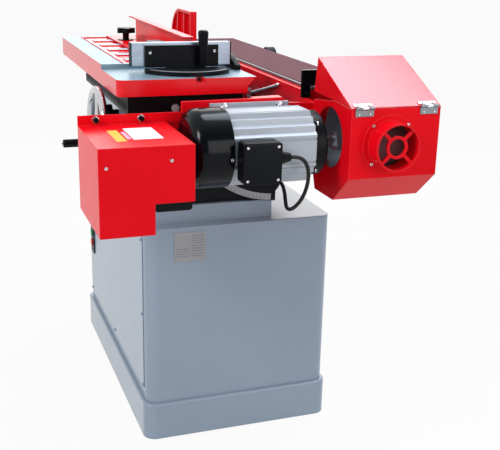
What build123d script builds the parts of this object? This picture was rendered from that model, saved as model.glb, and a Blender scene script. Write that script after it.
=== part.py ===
from build123d import *
import os
from math import atan2, cos, degrees, hypot, radians, sin, tan

# Edge sander with a tilting belt head, a lifting table and a closed cabinet base.
# X runs along the belt towards the drive end, Y runs away from the operator, Z is up.
# The origin is the centre of the anchor-hole pattern on the floor. All sizes are millimetres.

# Plinth and cabinet
plinth_x = (-407, 370)
plinth_y = (-230, 244)
plinth_height = 92
plinth_corner = 30
plinth_wall = 6
plinth_lip = 19
plinth_edge_round = 4
anchor_spacing_x = 600
anchor_spacing_y = 340
anchor_hole_r = 7
cabinet_x = (-397, 360)
cabinet_y = (-222, 238)
cabinet_top = 531
cabinet_corner = 28
cabinet_sheet = 3
cabinet_edge_round = 2.5
panel_span_x = (-363, 326)
panel_span_z = (118, 505)
panel_sheet = 2
panel_overlap = 16
panel_corner = 8

# Pedestal on the cabinet
pedestal_low_x = 328
pedestal_low_y = (-220, 96)
pedestal_low_top = 573
pedestal_tall_x = 288
pedestal_tall_y = (-220, 40)
pedestal_top = 775
pedestal_sheet = 4
pedestal_corner = 8

# Switch on the service panel
switch_x = -322
switch_width = 44
switch_span_z = (252, 339)
switch_proud = 3
switch_bezel = 5
switch_inside = 24
switch_gap = 0.3
switch_round = 5
button_r = 10
button_gap = 0.1
button_length = 12
button_proud = 4
button_bore_depth = 11.5
start_z = 314
stop_z = 284

# Head tilt pivot
tilt_y = 97
tilt_z = 802
tilt_pin_r = 10
running_gap = 0.05
trunnion_x = (296, 316)
trunnion_boss_r = 15
trunnion_foot_left = -100
trunnion_neck_right = 102
trunnion_flare = (124, 612, 650, 705)
trunnion_neck_left = 40
arm_x = (322, 350)
arm_block_y = (70, 124)
arm_block_bottom = 738
quadrant_x = (330, 342)
quadrant_r = 228
quadrant_start = -184
quadrant_end_near = -90
quadrant_end_far = -80
lock_angle = -88
lock_slot_r = 170
lock_slot_width = 13
lock_stud_r = 6
lock_stud_end = -372
lock_hub_x = (-370, -344)
lock_hub_r = 14
lock_arm_length = 80
lock_arm_r = 6
tilt_range_deg = 90
cross_tube_y = 118
cross_tube_z = 750
cross_tube_r = 12
guide_rod_x = 336
guide_rod_z = 770
guide_rod_r = 11
guide_rod_y = (78, 318)

# Belt, drums and platen
belt_top = 847
belt_span_y = (167, 317)
belt_thickness = 1.2
belt_gap = 0.3
drum_x = 535
drum_r = 89.5
drum_span_y = (166, 318)
drum_wall = 8.5
drum_web_y = (226, 242)
drum_hub_r = 20
drum_hub_y = (150, 262)
idler_x = -640
idler_r = 58.5
idler_wall = 9
idler_shaft_r = 12
idler_hub_length = 18
belt_offset = belt_gap + belt_thickness
drum_z = belt_top - drum_r - belt_offset
idler_z = belt_top - idler_r - belt_offset
platen_x = (-560, 369)
platen_y = (160, 322)
platen_top = belt_top - belt_thickness
platen_thickness = 6.5

# Head casting
casting_x = (-480, 369)
casting_top_far_x = -540
casting_top = platen_top - platen_thickness
casting_y = (144, 318)
casting_wall = 12
casting_apron_bottom = 705
casting_bottom = 742
casting_rib_x = (-440, -140, 140)
rod_boss_r = 24
bracket_end_x = 437
bracket_flange_y = (62, 156)
bracket_span_z = (690, 822)
lever_pivot_x = 40
lever_pivot_z = 780
lever_pin_r = 6
tracking_x = -385
tracking_z = 822
tracking_stud_r = 6
tracking_stud_end = 336
tracking_knob_y = (337, 366)
tracking_knob_r = 25
tracking_boss_y = 324
tracking_boss_r = 12
lever_tip = (234, 830)
lever_clear = 7
lever_boss_r = 14
lever_r = 5

# Idler carriage
yoke_block_x = (-575, -548)
yoke_block_z = (770, 804)
yoke_arm_far_x = -662
yoke_arms_y = ((148, 160), (324, 336))
yoke_rod_r = 9
yoke_rod_end_x = -424
yoke_rod_y = (190, 290)

# Work stop and end table
stop_x = (369, 375)
stop_plate_y = (140, 330)
stop_plate_z = (849, 885)
stop_leg_width = 22
stop_leg_bottom = 823
end_table_x = (-715, -484)
end_table_z = (700, 946)
end_table_y = (136, 144)
end_table_rim = 20
end_table_wall = 8
end_table_corner = 100
end_table_tab_x = -430
end_table_tab_z = (720, 820)
end_table_rib_x = (-565, -640)

# Motor
foot_plane_x = 445
motor_plate_x = (437, 445)
plate_inset = 4
plate_drop = 3
plate_z = (650, 836)
plate_peak = (66, 838)
plate_notch = (80, 826)
plate_foot_right = 84
plate_fold = 22
plate_fold_left = 2
plate_fold_sheet = 5
motor_half = 74
motor_steps = [(74, 32), (64, 38), (63, 49), (55, 51), (51, 55), (49, 63), (38, 64), (32, 74)]
motor_span_y = (-99, 79)
motor_bore_r = 66
motor_shield = 13
groove_width = 5
groove_depth = 2.5
groove_offsets = (-24, 24)
foot_y = (-101, 76)
foot_z_outer = 75
foot_z_inner = 58
foot_thickness = 10
foot_web_x = 500
fan_cover_y = (-180, -99)
fan_cover_r = 82
fan_cover_wall = 2.5
fan_cover_round = 26
fan_cover_hole_r = 20
end_bell_y = (79, 109)
end_bell_r = 68
end_bell_chamfer = 5
bearing_r = 26
bearing_seat = 16
shaft_r = 12
shaft_span_y = (-300, 262)
shaft_hole_r = 15
rotor_r = 45
rotor_y = (-73, 62)
stator_inner_r = 47
stator_y = (-80, 68)
fan_y = (-138, -112)
fan_hub_r = 24
fan_r = 62
fan_blades = 8
fan_blade_thickness = 4
fan_disc = 4
terminal_x = (622, 655)
terminal_y = (-96, -16)
terminal_z = (705, 788)
terminal_round = 7
terminal_neck_y = (-82, -30)
terminal_neck_z = (718, 770)
gland_z = 752
gland_x = 638
gland_hex_r = 14.5
gland_hex_length = 5
gland_nut_r = 13.5
gland_nose_r = 8.5
grommet_r = 9
grommet_length = 8
cable_r = 4
cable_route = [
    (638, 9, 752),
    (638, 25, 752),
    (638, 41, 743),
    (638, 50, 724),
    (637, 51, 696),
    (633, 42, 663),
    (620, 28, 638),
    (597, 23, 630),
    (570, 30, 638),
    (540, 40, 650),
    (505, 48, 659),
    (476, 50, 660),
    (453, 50, 660),
]
cable_fill = 0.45

# Oscillation drive and its cover
cover_x = (445, 664)
cover_y = (-380, -195)
cover_z = (622, 795)
cover_step_y = -273
cover_step_z = 683
cover_sheet = 2
cover_flange_top = 816
cover_flange_right = -163
gearbox_x = (445, 655)
gearbox_y = (-272, -198)
gearbox_z = (664, 788)
gearbox_wall = 6
worm_r = 13
worm_root_r = 10.5
worm_y = (-262, -208)
worm_threads = 6
wheel_y = -236
wheel_z = drum_z - 42
wheel_r = 28
wheel_teeth = 24
wheel_tooth_depth = 3
wheel_x = (527, 543)
wheel_shaft_r = 10
wheel_shaft_x = (408, 575)
eccentric_x = (410, 424)
eccentric_r = 20
eccentric_throw = 2.5
link_x = (411, 423)
link_eye_r = 28
link_eye_wall = 9
link_bar_height = 16
link_pin_r = 8
link_pin_z = 748
link_pin_end = 423.5
link_pin_eye_r = 17

# Hood over the drive drum
hood_y = (140, 344)
hood_front = 638
hood_front_z = (696, 841.8)
hood_crest = (550, 845.2)
hood_bottom_z = 634
hood_bottom_x = (470, 567)
hood_rear_x = 447
hood_rear_z = 832
hood_sheet = 2
hood_hole_z = 765
hood_hole_r = 65
hood_flange_y = 162
hood_flange_z = (692, 820)
lid_front = (637, 843)
lid_apex = (460, 925)
lid_rear = (447, 849)
lid_lip = 22
hinge_axis_x = 641.5
hinge_axis_z = 843.5
hinge_barrel_r = 3.5
hinge_pin_r = 1.5
hinge_centres_y = (168, 316)
hinge_length = 41
hinge_leaf_hood = 13
hinge_leaf_lid = 8
hinge_sheet = 2
hinge_neck = 12
hinge_neck_mid = 4
hinge_leaf_start = 6
hinge_gap = 0.4
port_y = 229
port_z = 767
port_r = 50
port_wall = 4
port_flange_r = 62
port_flange = 3
port_length = 42
grille_x = (668, 674)
grille_ring_r = 24
grille_hole_r = 18
spoke_width = 7
spoke_angles = (45, 135, 225, 315)

# Table and its lift
table_x = (-446, 348)
table_y = (-277, 40)
table_top = 880
table_bottom = 833
ledge_x = 165
ledge_top = 869.4
table_corner = 18
table_bevel = 20
table_bevel_z = (848, 868)
table_pocket_margin = 16
table_pocket_depth = 12
table_rib = 16
recess_x = (-425, 152)
recess_y = (-222, 26)
recess_depth = 2.5
land_x = (-335, -230, -125, -20, 85)
land_width = 36
land_y = (-204, 26)
slot_y = -90
slot_width = 20
slot_depth = 10
slot_start_x = 165
saddle_x = (-205, 325)
saddle_front_y = (-250, -196)
saddle_rear_y = (-24, 16)
saddle_bottom = 788
saddle_plate_z = 824
saddle_groove = 6
saddle_groove_z = (798, 814)
lift_y = -110
column_x = (-150, 60)
column_r = 20
column_bottom = 560
bush_r = 28
bush_span_z = (700, 775)
bush_flange_r = 36
bush_flange = 6
screw_x = 178
screw_r = 10
screw_bottom = 560
wheel_axis_z = 725
bevel_r = 24.2
bevel_tip_r = 13
bevel_back = 25
bevel_front = 13.5
bevel_teeth = 16
bevel_tooth = 3
nut_hub_r = 18
nut_hub_z = (670, 700)
shelf_half = 40
shelf_z = (676, 699.5)

# Handwheel
handwheel_y = -290
handwheel_r = 98
handwheel_rim_r = 9
handwheel_hub_r = 22
handwheel_hub_y = (-304, -274)
handwheel_spokes = 3
handwheel_spoke_r = 7
handwheel_shaft_r = 10
wheel_bearing_r = 30
wheel_sleeve_r = 18
wheel_bearing_y = (-232, -180)
crank_angle = 206.5
crank_pin_r = 5
crank_pin_end = -364
grip_r = 10
grip_y = (-361, -302)
lock_knob_x = 69
lock_knob_z = 747
lock_knob_r = 22
lock_knob_y = (-258, -236)
lock_knob_stem_r = 9

# Guide fence on the table
fence_x = (-430, 172)
fence_base_x = (-424, 125)
fence_base_y = (-150, -60)
fence_sheet = 4
fence_height = 60
fence_top_flange = 20
slide_gap = 0.3
knob_y = -118
knob_x = {"far": -301, "near": 40}
knob_slot_y = (-140, -86)
knob_slot_r = 6
knob_stud_r = 5
knob_washer_r = 22
knob_stem_r = 9
knob_head_r = 19
knob_lobe_r = 7
knob_lobes = 5
knob_heights = (884.6, 886.5, 904, 918)
knob_stud_bottom = 866
knob_hole_bottom = 864

# Mitre gauge
mitre_x = 215
mitre_y = slot_y
mitre_bar_x = (178, 300)
mitre_bar_width = 19
mitre_pin_r = 8
mitre_base_r = 110
mitre_base_y = (-192, -3)
mitre_chord_x = 240
mitre_base_z = (869.8, 879)
mitre_hub_y = (-132, -48)
mitre_hub_x = 196
mitre_plate_x = (222, 230)
mitre_plate_y = (-187, -13)
mitre_plate_z = (879, 928)
mitre_fence_x = (203, 222)
mitre_fence_y = (-217, 18)
mitre_fence_z = (881.5, 934)
mitre_fence_groove = 6
mitre_groove_z = (890, 906, 922)
mitre_handle_x = 250
mitre_handle_y = -56
mitre_handle_r = 12.5
mitre_handle_foot_r = 8
mitre_handle_round = 6
mitre_handle_z = (886, 964)
mitre_stud_r = 6

os.makedirs("parts", exist_ok=True)


# Helpers shared by the sub-parts

def save(piece, name):
    """Label a finished sub-part and write its STEP file."""
    piece.part.label = name
    export_step(piece.part, f"parts/{name}.step")


def block(x_span, y_span, z_span, mode=Mode.ADD):
    """Add or cut a box given by its spans along X, Y and Z."""
    spans = (x_span, y_span, z_span)
    centre = [(low + high) / 2 for low, high in spans]
    sides = [high - low for low, high in spans]
    with Locations(tuple(centre)):
        Box(*sides, mode=mode)


def bar_x(x_span, y, z, radius, mode=Mode.ADD):
    """Add or cut a round bar along X."""
    with Locations(((x_span[0] + x_span[1]) / 2, y, z)):
        Cylinder(radius, x_span[1] - x_span[0], rotation=(0, 90, 0), mode=mode)


def bar_y(y_span, x, z, radius, mode=Mode.ADD):
    """Add or cut a round bar along Y."""
    with Locations((x, (y_span[0] + y_span[1]) / 2, z)):
        Cylinder(radius, y_span[1] - y_span[0], rotation=(90, 0, 0), mode=mode)


def bar_z(z_span, x, y, radius, mode=Mode.ADD):
    """Add or cut a round bar along Z."""
    with Locations((x, y, (z_span[0] + z_span[1]) / 2)):
        Cylinder(radius, z_span[1] - z_span[0], mode=mode)


def side_plane(y):
    """Sketch plane at Y = y whose local axes are X and Z."""
    return Plane.XZ.offset(-y)


def end_plane(x):
    """Sketch plane at X = x whose local axes are Y and Z."""
    return Plane.YZ.offset(x)


def polar(centre, radius, angle):
    """Point on a circle, with the angle in degrees."""
    return (centre[0] + radius * cos(radians(angle)), centre[1] + radius * sin(radians(angle)))


def mirrored(span):
    """The same span on the other side of X = 0."""
    return (-span[1], -span[0])


def slide_y(y_span):
    """Distance to extrude a side_plane sketch at y_span[0] so that it ends at y_span[1]."""
    return -(y_span[1] - y_span[0])


drive_axis = Axis((drum_x, 0, drum_z), (0, 1, 0))
drive_plane = Plane(origin=(drum_x, 0, drum_z), x_dir=(0, 1, 0), z_dir=(1, 0, 0))


def rounded_base(x_span, y_span, corner, inset=0):
    """Rectangle with rounded corners between two spans in X and Y, drawn inside by an inset."""
    with Locations((sum(x_span) / 2, sum(y_span) / 2)):
        RectangleRounded(
            x_span[1] - x_span[0] - 2 * inset,
            y_span[1] - y_span[0] - 2 * inset,
            corner - inset,
        )


# Plinth: a welded tray whose top lip carries the cabinet
with BuildPart() as plinth:
    with BuildSketch():
        rounded_base(plinth_x, plinth_y, plinth_corner)
    extrude(amount=plinth_height)
    fillet(plinth.edges().group_by(Axis.Z)[-1], plinth_edge_round)
    with BuildSketch(Plane.XY.offset(plinth_wall)):
        rounded_base(plinth_x, plinth_y, plinth_corner, plinth_wall)
    extrude(amount=plinth_height - 2 * plinth_wall, mode=Mode.SUBTRACT)
    with BuildSketch(Plane.XY.offset(plinth_height)):
        rounded_base(plinth_x, plinth_y, plinth_corner, plinth_lip)
    extrude(amount=-2 * plinth_wall, mode=Mode.SUBTRACT)
    with GridLocations(anchor_spacing_x, anchor_spacing_y, 2, 2):
        Cylinder(anchor_hole_r, 2 * plinth_wall, mode=Mode.SUBTRACT)
save(plinth, "plinth")

# Cabinet: sheet steel box, open only behind the service panel
cabinet_front = cabinet_y[0]
with BuildPart() as cabinet:
    with BuildSketch(Plane.XY.offset(plinth_height)):
        rounded_base(cabinet_x, cabinet_y, cabinet_corner)
    extrude(amount=cabinet_top - plinth_height)
    fillet(cabinet.edges().group_by(Axis.Z)[-1], cabinet_edge_round)
    with BuildSketch(Plane.XY.offset(plinth_height + cabinet_sheet)):
        rounded_base(cabinet_x, cabinet_y, cabinet_corner, cabinet_sheet)
    extrude(amount=cabinet_top - plinth_height - 2 * cabinet_sheet, mode=Mode.SUBTRACT)
    block(
        (panel_span_x[0] + panel_overlap, panel_span_x[1] - panel_overlap),
        (cabinet_front - cabinet_sheet, cabinet_front + 2 * cabinet_sheet),
        (panel_span_z[0] + panel_overlap, panel_span_z[1] - panel_overlap),
        mode=Mode.SUBTRACT,
    )
save(cabinet, "cabinet")

# Service panel screwed over the opening on the operator's side
panel_face = cabinet_front - panel_sheet
switch_body_x = (switch_x - switch_width / 2 + switch_bezel, switch_x + switch_width / 2 - switch_bezel)
switch_body_z = (switch_span_z[0] + switch_bezel, switch_span_z[1] - switch_bezel)
with BuildPart() as service_panel:
    with BuildSketch(side_plane(panel_face)):
        with Locations(((panel_span_x[0] + panel_span_x[1]) / 2, (panel_span_z[0] + panel_span_z[1]) / 2)):
            RectangleRounded(
                panel_span_x[1] - panel_span_x[0],
                panel_span_z[1] - panel_span_z[0],
                panel_corner,
            )
    extrude(amount=-panel_sheet)
    block(
        (switch_body_x[0] - switch_gap, switch_body_x[1] + switch_gap),
        (panel_face - 1, cabinet_front + 1),
        (switch_body_z[0] - switch_gap, switch_body_z[1] + switch_gap),
        mode=Mode.SUBTRACT,
    )
save(service_panel, "service_panel")

# Pedestal: low platform for the trunnions and a tall box for the table lift
with BuildPart() as pedestal:
    block((-pedestal_low_x, pedestal_low_x), pedestal_low_y, (cabinet_top, pedestal_low_top))
    block((-pedestal_tall_x, pedestal_tall_x), pedestal_tall_y, (cabinet_top, pedestal_top))
    fillet(pedestal.edges().filter_by(Axis.Z), pedestal_corner)
    block(
        (-pedestal_low_x + pedestal_sheet, pedestal_low_x - pedestal_sheet),
        (pedestal_low_y[0] + pedestal_sheet, pedestal_low_y[1] - pedestal_sheet),
        (cabinet_top, pedestal_low_top - pedestal_sheet),
        mode=Mode.SUBTRACT,
    )
    block(
        (-pedestal_tall_x + pedestal_sheet, pedestal_tall_x - pedestal_sheet),
        (pedestal_tall_y[0] + pedestal_sheet, pedestal_tall_y[1] - pedestal_sheet),
        (cabinet_top, pedestal_top - pedestal_sheet),
        mode=Mode.SUBTRACT,
    )
    block(
        (screw_x - shelf_half, screw_x + shelf_half),
        (pedestal_tall_y[0] + pedestal_sheet / 2, lift_y + shelf_half),
        shelf_z,
    )
    for x in column_x:
        bar_z((bush_span_z[0], pedestal_top + 1), x, lift_y, bush_r, mode=Mode.SUBTRACT)
    bar_z((bush_span_z[0], pedestal_top + 1), screw_x, lift_y, screw_r + 2, mode=Mode.SUBTRACT)
    bar_z((shelf_z[0] - 1, shelf_z[1] + 1), screw_x, lift_y, nut_hub_r + running_gap, mode=Mode.SUBTRACT)
    bar_y(
        (pedestal_tall_y[0] - 1, pedestal_tall_y[0] + 2 * pedestal_sheet),
        screw_x, wheel_axis_z, wheel_sleeve_r, mode=Mode.SUBTRACT,
    )
save(pedestal, "pedestal")

# Flanged bushes that guide the table columns
with BuildPart() as column_bushes:
    for x in column_x:
        bar_z(bush_span_z, x, lift_y, bush_r)
        bar_z((pedestal_top, pedestal_top + bush_flange), x, lift_y, bush_flange_r)
    for x in column_x:
        bar_z(
            (bush_span_z[0] - 1, pedestal_top + bush_flange + 1),
            x, lift_y, column_r + running_gap, mode=Mode.SUBTRACT,
        )
save(column_bushes, "column_bushes")

# Bearing for the handwheel shaft on the operator's face of the pedestal
with BuildPart() as wheel_bearing:
    bar_y((wheel_bearing_y[0], pedestal_tall_y[0]), screw_x, wheel_axis_z, wheel_bearing_r)
    bar_y((pedestal_tall_y[0], wheel_bearing_y[1]), screw_x, wheel_axis_z, wheel_sleeve_r)
    bar_y(
        (wheel_bearing_y[0] - 1, wheel_bearing_y[1] + 1),
        screw_x, wheel_axis_z, handwheel_shaft_r + running_gap, mode=Mode.SUBTRACT,
    )
save(wheel_bearing, "wheel_bearing")

# Switch housing: a bezel on the panel, a body behind it and blind bores for two push buttons
switch_face = panel_face - switch_proud
with BuildPart() as switch_housing:
    block(
        (switch_x - switch_width / 2, switch_x + switch_width / 2),
        (switch_face, panel_face),
        switch_span_z,
    )
    fillet(switch_housing.edges().filter_by(Axis.Y), switch_round)
    block(switch_body_x, (panel_face, panel_face + switch_inside), switch_body_z)
    for z in (start_z, stop_z):
        bar_y(
            (switch_face - 1, switch_face + button_bore_depth),
            switch_x, z, button_r + button_gap, mode=Mode.SUBTRACT,
        )
save(switch_housing, "switch_housing")


def make_button(z):
    """A round push button standing proud of the switch housing."""
    with BuildPart() as button:
        bar_y((switch_face - button_proud, switch_face - button_proud + button_length), switch_x, z, button_r)
        fillet(button.edges().group_by(Axis.Y)[0], 1)
    return button


save(make_button(start_z), "start_button")
save(make_button(stop_z), "stop_button")


# Trunnions: two black plates on the pedestal that carry the tilt pins
flare_y, flare_low, flare_high, neck_z = trunnion_flare
trunnion_points = [
    (trunnion_foot_left, pedestal_low_top),
    (pedestal_low_y[1], pedestal_low_top),
    (flare_y, flare_low),
    (flare_y, flare_high),
    (trunnion_neck_right, neck_z),
    (trunnion_neck_right, tilt_z),
    (tilt_y - trunnion_boss_r + 1, tilt_z),
    (trunnion_neck_left, neck_z),
    (trunnion_foot_left, flare_high),
]
lock_y, lock_z = polar((tilt_y, tilt_z), lock_slot_r, lock_angle)
with BuildPart() as trunnions:
    for x_span in (trunnion_x, mirrored(trunnion_x)):
        with BuildSketch(end_plane(x_span[0])):
            Polygon(*trunnion_points, align=None)
            with Locations((tilt_y, tilt_z)):
                Circle(trunnion_boss_r)
        extrude(amount=x_span[1] - x_span[0])
        bar_x((x_span[0] - 1, x_span[1] + 1), tilt_y, tilt_z, tilt_pin_r, mode=Mode.SUBTRACT)
    bar_x((lock_stud_end, -trunnion_x[1]), lock_y, lock_z, lock_stud_r)
save(trunnions, "trunnions")

# Tilt pins, fixed in the trunnions
with BuildPart() as pivot_pins:
    for x_span in ((trunnion_x[0], arm_x[1]), (-arm_x[1], -trunnion_x[0])):
        bar_x(x_span, tilt_y, tilt_z, tilt_pin_r)
save(pivot_pins, "pivot_pins")

# Lever that clamps the far quadrant
with BuildPart() as tilt_lock_lever:
    bar_x(lock_hub_x, lock_y, lock_z, lock_hub_r)
    bar_z((lock_z - lock_arm_length, lock_z), sum(lock_hub_x) / 2, lock_y, lock_arm_r)
    with Locations((sum(lock_hub_x) / 2, lock_y, lock_z - lock_arm_length)):
        Sphere(lock_arm_r * 1.7)
    bar_x((lock_hub_x[0] - 1, lock_hub_x[1] + 1), lock_y, lock_z, lock_stud_r + running_gap, mode=Mode.SUBTRACT)
save(tilt_lock_lever, "tilt_lock_lever")

# Tilt carriage: two arms with quadrants, joined by a tube
with BuildPart() as tilt_carriage:
    for slotted, x_span, plate_span, quadrant_end in (
        (False, arm_x, quadrant_x, quadrant_end_near),
        (True, mirrored(arm_x), mirrored(quadrant_x), quadrant_end_far),
    ):
        block(x_span, arm_block_y, (arm_block_bottom, tilt_z))
        bar_x(x_span, tilt_y, tilt_z, trunnion_boss_r)
        with BuildSketch(end_plane(plate_span[0])):
            with BuildLine():
                first = polar((tilt_y, tilt_z), quadrant_r, quadrant_start)
                last = polar((tilt_y, tilt_z), quadrant_r, quadrant_end)
                Line((tilt_y, tilt_z), first)
                CenterArc(
                    (tilt_y, tilt_z), quadrant_r, quadrant_start,
                    quadrant_end - quadrant_start,
                )
                Line(last, (tilt_y, tilt_z))
            make_face()
            if slotted:
                slot_angles = (lock_angle - tilt_range_deg, lock_angle)
                slot_radii = (lock_slot_r - lock_slot_width / 2, lock_slot_r + lock_slot_width / 2)
                with BuildLine():
                    CenterArc((tilt_y, tilt_z), slot_radii[0], slot_angles[0], tilt_range_deg)
                    CenterArc((tilt_y, tilt_z), slot_radii[1], slot_angles[0], tilt_range_deg)
                    for angle in slot_angles:
                        Line(*[polar((tilt_y, tilt_z), radius, angle) for radius in slot_radii])
                make_face(mode=Mode.SUBTRACT)
                for angle in slot_angles:
                    with Locations(polar((tilt_y, tilt_z), lock_slot_r, angle)):
                        Circle(lock_slot_width / 2, mode=Mode.SUBTRACT)
        extrude(amount=plate_span[1] - plate_span[0])
        bar_x(
            (x_span[0] - 1, x_span[1] + 1), tilt_y, tilt_z,
            tilt_pin_r + running_gap, mode=Mode.SUBTRACT,
        )
    bar_x((-arm_x[0], arm_x[0]), cross_tube_y, cross_tube_z, cross_tube_r)
    bar_x((arm_x[1], link_pin_end), tilt_y, link_pin_z, link_pin_r)
    for x in (-guide_rod_x, guide_rod_x):
        bar_y((guide_rod_y[0], arm_block_y[1] + 1), x, guide_rod_z, guide_rod_r, mode=Mode.SUBTRACT)
save(tilt_carriage, "tilt_carriage")

# Rods on which the whole belt head oscillates
with BuildPart() as guide_rods:
    for x in (-guide_rod_x, guide_rod_x):
        bar_y(guide_rod_y, x, guide_rod_z, guide_rod_r)
save(guide_rods, "guide_rods")

# Link between the eccentric and the tilt carriage
link_length = hypot(tilt_y - wheel_y, link_pin_z - wheel_z)
link_angle = degrees(atan2(link_pin_z - wheel_z, tilt_y - wheel_y))
with BuildPart() as oscillation_link:
    with BuildSketch(end_plane(link_x[0])):
        with Locations((wheel_y, wheel_z)):
            Circle(link_eye_r + link_eye_wall)
        with Locations((tilt_y, link_pin_z)):
            Circle(link_pin_eye_r)
        with Locations(Location(((tilt_y + wheel_y) / 2, (link_pin_z + wheel_z) / 2, 0), (0, 0, link_angle))):
            Rectangle(link_length, link_bar_height)
        with Locations((wheel_y, wheel_z)):
            Circle(link_eye_r, mode=Mode.SUBTRACT)
        with Locations((tilt_y, link_pin_z)):
            Circle(link_pin_r + running_gap, mode=Mode.SUBTRACT)
    extrude(amount=link_x[1] - link_x[0])
save(oscillation_link, "oscillation_link")

# Head casting: ribbed frame under the platen with an apron on the operator's side
casting_inner_y = (casting_y[0] + casting_wall, casting_y[1] - casting_wall)
with BuildPart() as head_casting:
    block(
        (casting_top_far_x, casting_x[1]),
        (casting_y[0], platen_y[1]),
        (casting_top - casting_wall, casting_top),
    )
    block(casting_x, (casting_y[0], casting_inner_y[0]), (casting_apron_bottom, casting_top))
    block(casting_x, (casting_inner_y[1], casting_y[1]), (casting_bottom, casting_top))
    for x in (casting_x[0], casting_x[1] - casting_wall) + casting_rib_x:
        block((x, x + casting_wall), casting_y, (casting_bottom, casting_top))
    for x in (-guide_rod_x, guide_rod_x):
        bar_y(casting_y, x, guide_rod_z, rod_boss_r)
    block((casting_x[1], bracket_end_x), (casting_y[0], casting_inner_y[0]), bracket_span_z)
    block((bracket_end_x - casting_wall, bracket_end_x), bracket_flange_y, bracket_span_z)
    for x in (-guide_rod_x, guide_rod_x):
        bar_y(
            (casting_y[0] - 1, casting_y[1] + 1), x, guide_rod_z,
            guide_rod_r + running_gap, mode=Mode.SUBTRACT,
        )
    for y in yoke_rod_y:
        bar_x(
            (casting_x[0] - 1, casting_rib_x[0] + casting_wall + 1), y, idler_z,
            yoke_rod_r + running_gap, mode=Mode.SUBTRACT,
        )
    bar_y((casting_y[0] - 14, casting_y[0] + 1), lever_pivot_x, lever_pivot_z, lever_pin_r)
    bar_y((casting_y[1] - 1, tracking_stud_end), tracking_x, tracking_z, tracking_stud_r)
save(head_casting, "head_casting")

# Platen: ground plate that backs the belt
with BuildPart() as platen:
    block(platen_x, platen_y, (casting_top, platen_top - belt_gap))
    chamfer(platen.edges().filter_by(Axis.Y).group_by(Axis.Z)[-1], 2)
save(platen, "platen")


# Sanding belt: closed loop round both drums
drum_gap = hypot(idler_x - drum_x, idler_z - drum_z)
along = ((idler_x - drum_x) / drum_gap, (idler_z - drum_z) / drum_gap)
under = (2 * along[1] * along[0], 2 * along[1] ** 2 - 1)
with BuildPart() as sanding_belt:
    with BuildSketch(side_plane(belt_span_y[0])):
        for offset, mode in ((belt_offset, Mode.ADD), (belt_gap, Mode.SUBTRACT)):
            big = drum_r + offset
            small = idler_r + offset
            drum_low = (drum_x + big * under[0], drum_z + big * under[1])
            idler_low = (idler_x + small * under[0], idler_z + small * under[1])
            with BuildLine():
                Line((idler_x, idler_z + small), (drum_x, drum_z + big))
                ThreePointArc(
                    (drum_x, drum_z + big),
                    (drum_x - along[0] * big, drum_z - along[1] * big),
                    drum_low,
                )
                Line(drum_low, idler_low)
                ThreePointArc(
                    idler_low,
                    (idler_x + along[0] * small, idler_z + along[1] * small),
                    (idler_x, idler_z + small),
                )
            make_face(mode=mode)
    extrude(amount=slide_y(belt_span_y))
save(sanding_belt, "sanding_belt")

# Work stop across the belt, bolted to the end of the casting
with BuildPart() as work_stop:
    block(stop_x, stop_plate_y, stop_plate_z)
    block(stop_x, (stop_plate_y[0], stop_plate_y[0] + stop_leg_width), (stop_leg_bottom, stop_plate_z[1]))
    fillet(work_stop.edges().filter_by(Axis.X).group_by(Axis.Z)[-1], 3)
save(work_stop, "work_stop")

# Small end table beside the idler drum, ribbed underneath
with BuildPart() as end_table:
    with BuildSketch(side_plane(end_table_y[1])):
        with BuildLine():
            far, near = end_table_x
            low, high = end_table_z
            Line((near, low), (near, high))
            Line((near, high), (far + end_table_corner, high))
            RadiusArc((far + end_table_corner, high), (far, high - end_table_corner), -end_table_corner)
            Line((far, high - end_table_corner), (far, low + end_table_corner))
            RadiusArc((far, low + end_table_corner), (far + end_table_corner, low), -end_table_corner)
            Line((far + end_table_corner, low), (near, low))
        make_face()
    extrude(amount=end_table_rim)
    with BuildSketch(side_plane(end_table_y[0])):
        with BuildLine():
            inner = end_table_corner - end_table_wall
            far = end_table_x[0] + end_table_wall
            near = end_table_x[1] - end_table_wall
            low = end_table_z[0] + end_table_wall
            high = end_table_z[1] - end_table_wall
            Line((near, low), (near, high))
            Line((near, high), (far + inner, high))
            RadiusArc((far + inner, high), (far, high - inner), -inner)
            Line((far, high - inner), (far, low + inner))
            RadiusArc((far, low + inner), (far + inner, low), -inner)
            Line((far + inner, low), (near, low))
        make_face()
    extrude(amount=end_table_rim, mode=Mode.SUBTRACT)
    for x in end_table_rib_x:
        block(
            (x, x + end_table_wall),
            (end_table_y[1] - end_table_rim, end_table_y[0]),
            (end_table_z[0] + end_table_wall, end_table_z[1] - end_table_wall),
        )
    block((end_table_x[1] - 1, end_table_tab_x), end_table_y, end_table_tab_z)
save(end_table, "end_table")

# Motor plate bolted to the casting's bracket
with BuildPart() as motor_plate:
    with BuildSketch(end_plane(motor_plate_x[0])):
        with BuildLine():
            Polyline(
                (cover_y[0] + plate_inset, plate_z[0]),
                (cover_y[0] + plate_inset, cover_flange_top - plate_drop),
                (cover_flange_right + cover_sheet, cover_flange_top - plate_drop),
                (cover_flange_right + cover_sheet, plate_z[1]),
                plate_peak,
                plate_notch,
                (hood_flange_y, bracket_span_z[1]),
                (hood_flange_y, bracket_span_z[0]),
                (plate_foot_right, plate_z[0]),
                close=True,
            )
        make_face()
        with Locations((wheel_y, wheel_z)):
            Circle(wheel_shaft_r + plate_inset, mode=Mode.SUBTRACT)
    extrude(amount=motor_plate_x[1] - motor_plate_x[0])
    with BuildSketch(end_plane(motor_plate_x[0])):
        Polygon(
            (plate_fold_left, plate_z[1]),
            plate_peak,
            (plate_peak[0], plate_peak[1] - plate_fold_sheet),
            (plate_fold_left, plate_z[1] - plate_fold_sheet),
            align=None,
        )
    extrude(amount=-plate_fold)
save(motor_plate, "motor_plate")

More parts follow.
